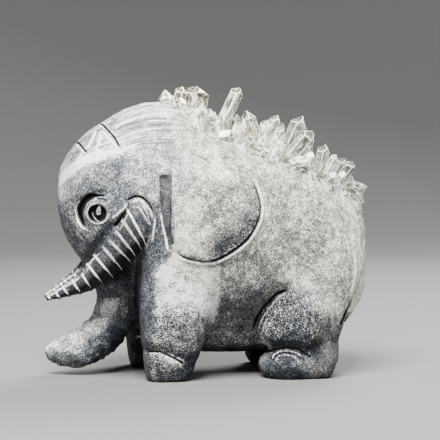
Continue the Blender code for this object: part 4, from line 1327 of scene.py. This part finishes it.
    def paint_tusks(self, wash: Wash, spots: Spots) -> None:
        """Leaves the tusks dark between their white ribs, with painted shade black on their undersides and a
        painted reflection on the panels midway along.

        Args:
            wash: The stone's colouring so far.
            spots: The places on the stone.
        """
        number, upwards, beads_from = spots.number, spots.normals[:, 2], self.tusk.beads_from
        root = fade(number, -0.7, -0.3)
        # painted shade on the faces turned down
        under = ease(-upwards, 0.35, 0.6)
        # a painted reflection on the panels midway along
        wanted = 0.27 + 0.26 * root + 0.1 * np.exp(-(((number - 6.4) / 1.3) ** 2))
        wash.tint(wanted * (1.0 - 0.9 * under), spots.below_root)
        beside = np.abs(spots.normals[:, 1]) - 0.2 - 0.42 * ease(number, beads_from - 1.0, beads_from)
        ridge = stroke(np.abs(beside), 0.14) * (1.0 - root) * (upwards > 0.1)
        wash.wipe(spots.below_root)
        wash.ink_and_shade = wash.ink_and_shade + 0.55 * under * spots.below_root
        # white on all but the undersides, which the painted shade keeps black, and a white line along the
        # upper edge
        tusk_white = np.maximum(0.16 * ease(upwards, -0.6, -0.45), 0.66 * ridge)
        wash.chalk_and_highlight = wash.chalk_and_highlight + tusk_white * spots.below_root

    def paint_eye(self, wash: Wash, spots: Spots) -> None:
        """Blackens the pupil and the lid's hollow, partly as painted shade, paints the ball lighter towards
        its upper right as painted light, and paints highlights on the ring, the outer rim, the drop and the
        glint.

        Args:
            wash: The stone's colouring so far.
            spots: The places on the stone.
        """
        eye = self.eye.fields(spots.side)
        around = spots.outer * eye["near"]
        drop, glint = ease(eye["drop"], 0.35, 0.65), ease(eye["glint"], 0.4, 0.6)
        # painted light: the ball lighter towards its upper right
        wash.tint(0.5 + 0.14 * eye["upper_right"], ease(eye["ball"], 0.3, 0.7) * around)
        wash.wipe(ease(np.maximum(eye["pupil"], eye["ball"]), 0.3, 0.6) * around)
        # black in the pupil and the lid's hollow, partly painted shade
        hollow = np.maximum(eye["pupil"] * (1.0 - drop) * (1.0 - glint), eye["lid"])
        wash.draw(np.maximum(hollow, 0.85 * eye["fold"]) * around)
        # painted highlights on the drop and the glint
        wash.tint(0.74, np.maximum(drop, glint) * around)
        # painted highlights on the ring's lower left and along the outer rim
        ring = 0.7 * eye["ring"] * ease(1.2 - eye["upper_right"], 0.0, 1.0)
        wash.whiten(np.maximum(ring, eye["rim"] * (eye["lid"] < 0.5)) * around)


FACE_AREAS = (
    Area(((-49.9, 60), (-48.4, 63.2), (-46.1, 65.2), (-43.5, 67.4), (-40.7, 68.9), (-37.7, 69.8),
        (-34, 70.8), (-30, 71.4), (-25.5, 70), (-22, 66.6), (-20.9, 61), (-22, 58.2), (-25, 59.6),
        (-29.5, 58.4), (-33.4, 53.4), (-38, 48), (-42, 43.4), (-44.5, 41.6), (-47.5, 45), (-49.4, 52)),
        0.49, 3, 0.95, 4),
    Area(((-51, 60.5), (-47.5, 61.5), (-44.9, 61.4), (-44.4, 56), (-44.6, 49.7), (-42.9, 45), (-43, 39),
        (-46.8, 41.4), (-50.2, 50)), 0.42, 4, 0.9, 0, -0.6),
    Area(((-47.2, 46.6), (-44.2, 47.8), (-41.7, 45.2), (-41.6, 41), (-42.9, 38), (-45.9, 41)), 0.42, 3, 0.9,
        0, -0.9),
    Area(((-44.2, 61.2), (-42.2, 60.8), (-41.5, 59.6), (-43, 58.6)), 0.48, 1.5, 0.8),
    Area(((-53, 58), (-48.9, 57.6), (-48, 52), (-47.4, 46), (-50, 42), (-53, 48)), 0.4, 2.4, 0.7),
    Area(((-27.8, 56.2), (-30.4, 54), (-32.8, 51.4), (-36.4, 49.9), (-38.4, 47.9), (-39.6, 43.6),
        (-41.9, 41.4), (-43.2, 38.4), (-40.6, 34.6), (-34, 38), (-28, 44), (-25.6, 50)), 0.3, 1.6, 0.97, 3),
    Area(((-41.4, 43.8), (-39.2, 44.4), (-38.2, 42.2), (-39.2, 39.8), (-41.2, 41)), 0.38, 1.5, 0.8, 3, 0.7),
    Area(((-26.8, 57.6), (-23.6, 57), (-21.2, 53.4), (-20.8, 46), (-21.2, 41), (-24.4, 43), (-25.8, 50)),
        0.33, 2.2),
    Area(((-21, 55), (-19.3, 57), (-18.2, 50), (-16.8, 43), (-18.4, 40), (-21.4, 42)), 0.33, 2.2),
    Area(((-32, 58), (-27, 60), (-22, 60), (-19.6, 55), (-22, 52), (-26, 55.6)), 0.46, 3, 0.8, 9),
    Area(((-23, 66), (-20.2, 66.4), (-19.6, 58), (-20.6, 57), (-22, 59)), 0.7, 2),
    Area(((-31, 70), (-25, 70.6), (-21, 67), (-20.6, 59), (-24, 61), (-27, 64)), 0.66, 4, 0.85),
    Area(((-29.4, 60.6), (-27, 63), (-22, 62.4), (-19.8, 58), (-22, 57.4), (-25.6, 59.6)), 0.74, 2.4, 0.85,
        9),
    Area(((-49.8, 61), (-46.1, 65.6), (-43.5, 67.8), (-40.7, 69.2), (-38.5, 69.6), (-40.5, 66),
        (-44.5, 62.2), (-48.4, 56.5)), 0.74, 2.4, 0.85),
)
PAINTED_CHEST_SHADE = (
    # painted shade over the chest under the head and the tusks
    Area(((-28.6, 42.6), (-25.2, 45), (-22.6, 41), (-22.4, 30), (-22.8, 4), (-30, 4), (-34, 14), (-38, 27),
        (-37.4, 31), (-32.4, 37)), 0.32, 2.4, 0.97, 0, 0.2),
    # painted shadow, black, right under the tusk's root
    Area(((-28.4, 41.2), (-25.6, 43.4), (-23.5, 40.4), (-23.8, 36), (-25.6, 33.6), (-29, 32.4),
        (-33.1, 31.4), (-36.4, 29.6), (-36.9, 30.9), (-32, 36.6), (-30.3, 39.8)), 0, 2.4, 1),
)
BODY_AREAS = (
    # painted shade on the ear's lower part
    Area(((-10, 43), (-3, 46), (1, 48.6), (5.6, 51.6), (9.6, 52.6), (11.4, 51), (7.6, 45.9), (3.2, 42.2),
        (-1.1, 39.7), (-8, 39)), 0.02, 6.5, 0.97, 9),
    # a painted highlight on the body just below the ear's edge
    Area(((-12, 40), (-5.3, 38.3), (-0.8, 39.1), (4, 41.9), (8.4, 45.4), (11.8, 50.6), (12.7, 55.2),
        (11.8, 60.5), (13.4, 61), (14.9, 55), (13.8, 49), (8.6, 41.6), (-1, 35.4), (-10, 36)), 0.86, 1.6,
        0.8, 9),
    Area(((-6, 58), (1, 62), (9.6, 61), (10.4, 52), (4, 45), (-4, 46)), 0.6, 8, 0.8, 9),
    Area(((-15, 51), (-11.6, 54), (-8.6, 50), (-7.4, 42.2), (-10.4, 40.6), (-13.9, 43.6)), 0.84, 3, 0.8, 9),
    Area(((-14, 58), (-8, 58), (-5, 52), (-3, 42), (-8, 39.5), (-14, 43)), 0.88, 5, 0.9, 9),
    Area(((-18, 80), (-4, 76), (4, 64), (-6, 61), (-15, 62)), 0.82, 5, 0.9, 9),
    Area(((29, 26), (35, 44), (41, 62), (52, 58), (56, 40), (50, 20), (38, 19)), 0.78, 6, 0.9),
    # painted light along the rump's back edge, where its surface turns away from the light
    Area(((44, 60), (56, 60), (56, 20), (44.6, 22), (44.8, 40)), 0.92, 3, 0.9, 0, 0.2),
    Area(((-4.8, 37), (-2.1, 38.8), (5.9, 39.4), (12.6, 37), (15.6, 33), (13, 28.5), (-3.1, 28)), 0.65, 5),
    Area(((-2.6, 27), (1.5, 29), (9, 29.4), (12.6, 28), (15.4, 24.6), (14.2, 21.2), (14.2, 12), (20, 4),
        (4, 2), (-6, 5), (-2.6, 15.6)), 0.38, 5),
    Area(((-4, 15), (12, 15), (14, 5), (-8, 5)), 0.5, 4, 0.9, 0, -0.3),
    # painted light in the hollow above the thigh, against the shade that falls there
    Area(((16.8, 33.6), (18.6, 31.4), (22.6, 29.8), (28, 28), (31, 30), (27, 34.6), (20, 36.6)), 0.86, 3,
        0.9),
)
LEG_AREAS = (
    # a painted highlight on the body beside the fore leg
    Area(((-3.4, 30), (-0.2, 31), (0.5, 26), (-0.6, 18.5), (-3.6, 18.5), (-3.2, 25)), 0.96, 2.2, 0.9, 9,
        0.2),
    Area(((-21.8, 41), (-17.6, 44.5), (-12, 41.6), (-5.4, 39.6), (-1.9, 36.2), (-1.6, 26), (-3.6, 19),
        (-12.9, 21), (-21, 20)), 0.97, 3.5, 0.95, 9, -0.6),
    Area(((-21.8, 21.6), (-12.9, 23.4), (-3.2, 21.4), (-2.6, 12), (-5.8, 9), (-16, 11.4), (-22.6, 11.6)),
        0.5, 5.5, 0.95, 0, -0.6),
    Area(((-14, 18), (-6, 20), (-3, 12), (-6, 6), (-13, 9)), 0.42, 4, 0.9),
    Area(((-23.2, 10.2), (-17.4, 10.6), (-12.6, 8.4), (-5.6, 10.4), (-6, 0), (-23, 0)), 0.33, 2, 0.95, 0,
        -0.5),
    Area(((-14, 8.6), (-5.6, 10.4), (-6, 0), (-13, 0)), 0.2, 2.4),
    Area(((-19.2, 9.4), (-16.6, 8.8), (-12.8, 6.8), (-14.6, 5), (-17.9, 6.4)), 0.85, 1.6, 0.9, 9),
    # painted shade on the fore leg's front side
    Area(((-26, 44), (-21.5, 43), (-20.2, 36), (-20.4, 26.5), (-21.4, 17), (-23, 10.6), (-26, 12)), 0.32,
        1.8),
    Area(((-22, 48), (-17.4, 48), (-15.4, 43.8), (-15.6, 40.4), (-18.2, 38.2), (-22, 38)), 0.32, 1.8, 0.9),
    Area(((14.1, 12.7), (13.6, 17), (14.8, 20.8), (17, 24.5), (19.9, 27.5), (22.2, 28.6), (24.9, 25.8),
        (28, 23.6), (30.2, 22), (32.5, 20.3), (33.5, 16.1), (33.1, 11.5), (26.3, 8.9), (17.7, 9.4)), 0.29,
        3, 0.95, 0, -0.9),
    # painted shadow above the hind paw
    Area(((16.4, 12.6), (21, 14.6), (25.7, 14.4), (33.1, 12.8), (33.5, 9.6), (31.3, 7.3), (26.3, 8.9),
        (21.5, 10.5), (17.5, 10.4)), 0.14, 2.4),
    Area(((14.5, 11.7), (16, 12.6), (17.8, 11), (17.6, 9), (15.6, 9.4)), 0.84, 1.2, 0.9, 9, 0.6),
    Area(((16.2, 4.4), (16.7, 7.6), (20.1, 9.5), (23.7, 9.3), (27.3, 7.6), (27.3, 3.9), (26.5, -1),
        (17.7, -1)), 0.15, 2, 0.95, 0, -0.4),
    Area(((27.6, 7.3), (31.9, 7.7), (34.5, 11.2), (32.8, 16.1), (33.5, 20), (35.6, 19.9), (38.7, 15.8),
        (39, 10.9), (38.5, 6), (35.5, 2.3), (32.2, -1), (27.6, -1)), 0.42, 2, 0.9, 0, 0.2),
)


@dataclass
class QuartzPoints:
    """The points that stand out of the cluster, each a piece of its own in place of its CAD node."""

    edge_wear: float = 0.16
    root_sunk: float = 1.6
    clarity: tuple = (
        (Clarity.SMOKY, "crown_01 crown_02 crown_03"),
        (Clarity.MILKY, "crown_04 crown_05 back_03 back_09 back_10 back_13 back_14 rump_05"),
        (Clarity.CLEAR, "back_11 back_12 back_15 back_16 rump_01 rump_02 rump_03 rump_04 rump_06"),
    )
    others: tuple[Clarity, ...] = (Clarity.CREAM, Clarity.MILKY, Clarity.CREAM)

    def build(self) -> list[Piece]:
        """Makes every point.

        Returns:
            The finished pieces.
        """
        dressed = {clarity: clarity.value.material() for clarity in Clarity}
        worn = EdgeHighlight().material()
        named = {name: clarity for clarity, names in self.clarity for name in names.split()}
        made = []
        nodes = [node for node in sorted(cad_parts) if node.startswith("quartz_")]
        for number, node in enumerate(nodes):
            clarity = named.get(node.removeprefix("quartz_"), self.others[number % len(self.others)])
            piece = self.point(node, [dressed[clarity], worn])
            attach(piece, "root")
            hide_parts(node)
            made.append(piece)
        return made

    def point(self, node: str, materials: list[bpy.types.Material]) -> Piece:
        """Makes one point from a copy of its solid, with whole faces, bevelled edges painted white as
        highlights and a root in the bed.

        Args:
            node: The solid's name.
            materials: The finish of its faces, and the painted highlight of its edges.

        Returns:
            The point.
        """
        piece = placed(node.replace("quartz", "point"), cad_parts[node].data.copy())
        piece.data.materials.clear()
        for material in materials:
            piece.data.materials.append(material)
        with editing(piece):
            bpy.ops.mesh.remove_doubles(threshold=2e-6)
            bpy.ops.mesh.dissolve_limited(angle_limit=math.radians(2.0))
        piece.data.polygons.foreach_set("material_index", [0] * len(piece.data.polygons))
        self.sink_root(piece.data)
        wear = piece.modifiers.new("wear", "BEVEL")
        wear.width = self.edge_wear * MM
        wear.segments = 1
        wear.limit_method = "ANGLE"
        wear.angle_limit = math.radians(12.0)
        # the bevels take the painted highlight
        wear.material = 1
        finish_modifiers(piece)
        points = mesh_points(piece.data)
        axis = self.axis(points)
        outwards = np.cross(axis, (0.0, 1.0, 0.0))
        outwards /= np.linalg.norm(outwards)
        growth = (points @ outwards, points @ np.cross(axis, outwards), as_share(points @ axis))
        store(piece.data, "growth", "FLOAT_VECTOR", np.column_stack(growth))
        piece.data.shade_flat()
        return piece

    @staticmethod
    def axis(points: Array) -> Array:
        """The long direction of a set of points, turned upwards."""
        _, _, directions = np.linalg.svd(points - points.mean(axis=0), full_matrices=False)
        return directions[0] if directions[0][2] >= 0.0 else -directions[0]

    def sink_root(self, mesh: Mesh) -> None:
        """Moves the lower end down along the point, so that it stands in the bed.

        Args:
            mesh: The point's mesh.
        """
        points = mesh_points(mesh)
        axis = self.axis(points)
        share = as_share(points @ axis)
        low = (share < 0.3) & (read(mesh.vertices, "normal") @ axis < 0.2) | (share < 0.12)
        points[low] -= axis * self.root_sunk
        move_points(mesh, points)


@dataclass
class Druse:
    """The crust of little points between the big ones, and along the edge of the bed."""

    stone: Piece
    figure: StoneFigure
    count: int = 380
    seed: int = 11
    lengths: tuple[float, float] = (1.0, 2.6)
    slenderness: tuple[float, float] = (0.24, 0.42)
    leans: tuple[float, ...] = (0.0, 0.25, -0.2)
    milky_share: float = 0.65
    from_x: float = -14.0
    small_from_x: float = 44.0
    to_x: float = 52.0

    def build(self) -> list[Piece]:
        """Makes the crust.

        Returns:
            One piece of milky points, and one of clearer ones.
        """
        shapes = [self.shape(lean) for lean in self.leans]
        mesh = self.stone.data
        faces = [tuple(face.vertices) for face in mesh.polygons]
        surface = BVHTree.FromPolygons([vert.co for vert in mesh.vertices], faces)
        chance = random.Random(self.seed)
        downwards = Vector((0.0, 0.0, -1.0))
        groups = {Clarity.MILKY: [], Clarity.CREAM: []}
        ridge = smooth_line(self.figure.bed_ridge)
        widths = smooth_line(self.figure.bed_half_widths)[:, 0]
        for _ in range(self.count):
            x = chance.uniform(self.from_x, self.to_x)
            reach = float(np.interp(x, ridge[:, 0], widths))
            near_edge = math.copysign(chance.uniform(0.7, 1.02), chance.random() - 0.5)
            across = chance.choice((chance.uniform(-1.0, 1.0), near_edge))
            spot, normal, _, _ = surface.ray_cast(Vector((x, across * reach, 120.0)) * MM, downwards)
            if spot is None:
                continue
            smaller = 1.0 if x < self.small_from_x else 0.6
            size = chance.uniform(*self.lengths) * (1.15 - 0.3 * abs(across)) * smaller
            sway = Vector((chance.gauss(0.2, 0.45), chance.gauss(0.3 * across, 0.4), chance.gauss(0.3, 0.25)))
            heading = (normal + sway).normalized()
            width = size * chance.uniform(*self.slenderness)
            clarity = Clarity.MILKY if chance.random() < self.milky_share else Clarity.CREAM
            sunk = spot - heading * 0.3 * size * MM
            groups[clarity].append(self.grown(chance.choice(shapes), sunk, heading, size, width, chance))
        for shape in shapes:
            bpy.data.objects.remove(shape)
        made = []
        for clarity, points in groups.items():
            piece = join(points, f"druse_{clarity.name.lower()}")
            piece.data.materials.clear()
            piece.data.materials.append(bpy.data.materials[clarity.value.name])
            piece.data.shade_flat()
            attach(piece, "root")
            made.append(piece)
        return made

    @staticmethod
    def shape(lean: float) -> Piece:
        """Models a point of length 1 and half width 1.

        Args:
            lean: How far its tip leans to one side.

        Returns:
            The point, as a pattern for others.
        """
        bpy.ops.mesh.primitive_cylinder_add(vertices=6, radius=1.0, depth=0.8, location=(0.0, 0.0, 0.2))
        made = bpy.context.object
        bpy.ops.object.transform_apply(location=True, rotation=True, scale=True)
        with editing(made, [face.normal.z > 0.9 for face in made.data.polygons]):
            bpy.ops.mesh.extrude_region_move(TRANSFORM_OT_translate={"value": (lean, lean * 0.5, 0.4)})
            bpy.ops.transform.resize(value=(0.14, 0.3, 1.0), center_override=(lean, lean * 0.5, 1.0))
        points = mesh_points(made.data) * MM
        store(made.data, "growth", "FLOAT_VECTOR", np.clip(points, (-9, -9, 0), (9, 9, 1)))
        return made

    @staticmethod
    def grown(
        shape: Piece, spot: Vector, heading: Vector, length: float, width: float, chance: random.Random
    ) -> Piece:
        """Copies a shape to a spot on the stone.

        Args:
            shape: The pattern.
            spot: Where its foot goes.
            heading: The direction of its tip.
            length: Its length.
            width: Half its width.
            chance: What it is spun round its own length by.

        Returns:
            The copy.
        """
        copy = placed("druse_point", shape.data.copy())
        turn = heading.to_track_quat("Z", "Y").to_matrix().to_4x4()
        spin = Matrix.Rotation(chance.uniform(0.0, math.tau), 4, "Z")
        size = Matrix.Diagonal((width * MM, width * MM, length * MM, 1.0))
        copy.data.transform(Matrix.Translation(spot) @ turn @ spin @ size)
        return copy


@dataclass
class Studio:
    """Floor, lights and camera, at the photograph's angle."""

    aim: Vector = Vector((4.2, 0.0, 50.5))
    azimuth: float = -9.0
    elevation: float = 1.9
    distance: float = 480.0
    lens: float = 117.8
    # each light's name, place, width and power
    lights: tuple = (
        ("key", (-140.0, -330.0, 640.0), 360.0, 32.0),
        ("back", (300.0, 420.0, 560.0), 360.0, 15.0),
        ("fill", (420.0, -700.0, 260.0), 700.0, 4.2),
    )
    room_colour: Colour = (0.95, 0.97, 1.0)
    room_strength: float = 0.31
    floor_radius: float = 700.0
    floor_colour: Colour = (0.115, 0.115, 0.112)
    rim_steps: Course = (
        (8, 1.12), (24, 1.11), (50, 1.1), (90, 1.09), (150, 1.07), (240, 1.05), (400, 1.03), (800, 1),
    )

    def build(self) -> None:
        """Sets the scene up."""
        self.floor()
        for name, place, width, power in self.lights:
            lamp = bpy.data.lights.new(name, "AREA")
            lamp.size = width * MM
            lamp.energy = power
            made = placed(name, lamp)
            made.location = Vector(place) * MM
            made.rotation_euler = (self.aim * MM - made.location).to_track_quat("-Z", "Y").to_euler()
        self.room()
        self.camera()

    def floor(self) -> None:
        """Makes a wide pale dish, whose rim rises far behind everything."""
        bpy.ops.mesh.primitive_circle_add(vertices=96, radius=self.floor_radius * MM, fill_type="NGON")
        dish = bpy.context.object
        dish.name = "floor"
        with editing(dish):
            for rise, spread in self.rim_steps:
                bpy.ops.mesh.extrude_region_move(TRANSFORM_OT_translate={"value": (0.0, 0.0, rise * MM)})
                bpy.ops.transform.resize(value=(spread, spread, 1.0))
            bpy.ops.mesh.delete(type="ONLY_FACE")
        dish.data.shade_smooth()
        recipe = Recipe("pale_floor")
        cloud = recipe.noise(recipe.coordinates(), 300.0, 3.0)
        colour = recipe.blend(cloud, tuple(0.97 * part for part in self.floor_colour), self.floor_colour)
        dish.data.materials.append(recipe.surface(recipe.shader(colour, 0.9)))

    def room(self) -> None:
        """Lights everything a little from all round."""
        world = bpy.data.worlds.new("room")
        world.use_nodes = True
        sockets = world.node_tree.nodes["Background"].inputs
        sockets["Color"].default_value = (*self.room_colour, 1.0)
        sockets["Strength"].default_value = self.room_strength
        bpy.context.scene.world = world

    def camera(self) -> None:
        """Places the camera."""
        lens = bpy.data.cameras.new("camera")
        lens.lens = self.lens
        lens.sensor_width = 36.0
        lens.clip_start, lens.clip_end = 0.01, 20.0
        made = placed("camera", lens)
        turn, rise = math.radians(self.azimuth), math.radians(self.elevation)
        back = Vector((math.sin(turn) * math.cos(rise), -math.cos(turn) * math.cos(rise), math.sin(rise)))
        made.location = (self.aim + back * self.distance) * MM
        made.rotation_euler = (-back).to_track_quat("-Z", "Y").to_euler()
        bpy.context.scene.camera = made


def main() -> None:
    """Builds the figure, its quartz and the studio, and reports each piece."""
    logging.basicConfig(level=logging.INFO, format="%(message)s")
    cuts = HEAD_CUTS + CHEEK_CUTS + LEG_CUTS
    areas = FACE_AREAS + PAINTED_CHEST_SHADE + BODY_AREAS + LEG_AREAS
    figure = StoneFigure(Tusk(), Eye(), Ear(), StoneFinish(), cuts, areas)
    stone = figure.build()
    pieces = [stone, *QuartzPoints().build(), *Druse(stone, figure).build()]
    for piece in pieces:
        log.info("%s: %d faces", piece.name, len(piece.data.polygons))
    Studio().build()


if __name__ == "__main__":
    main()
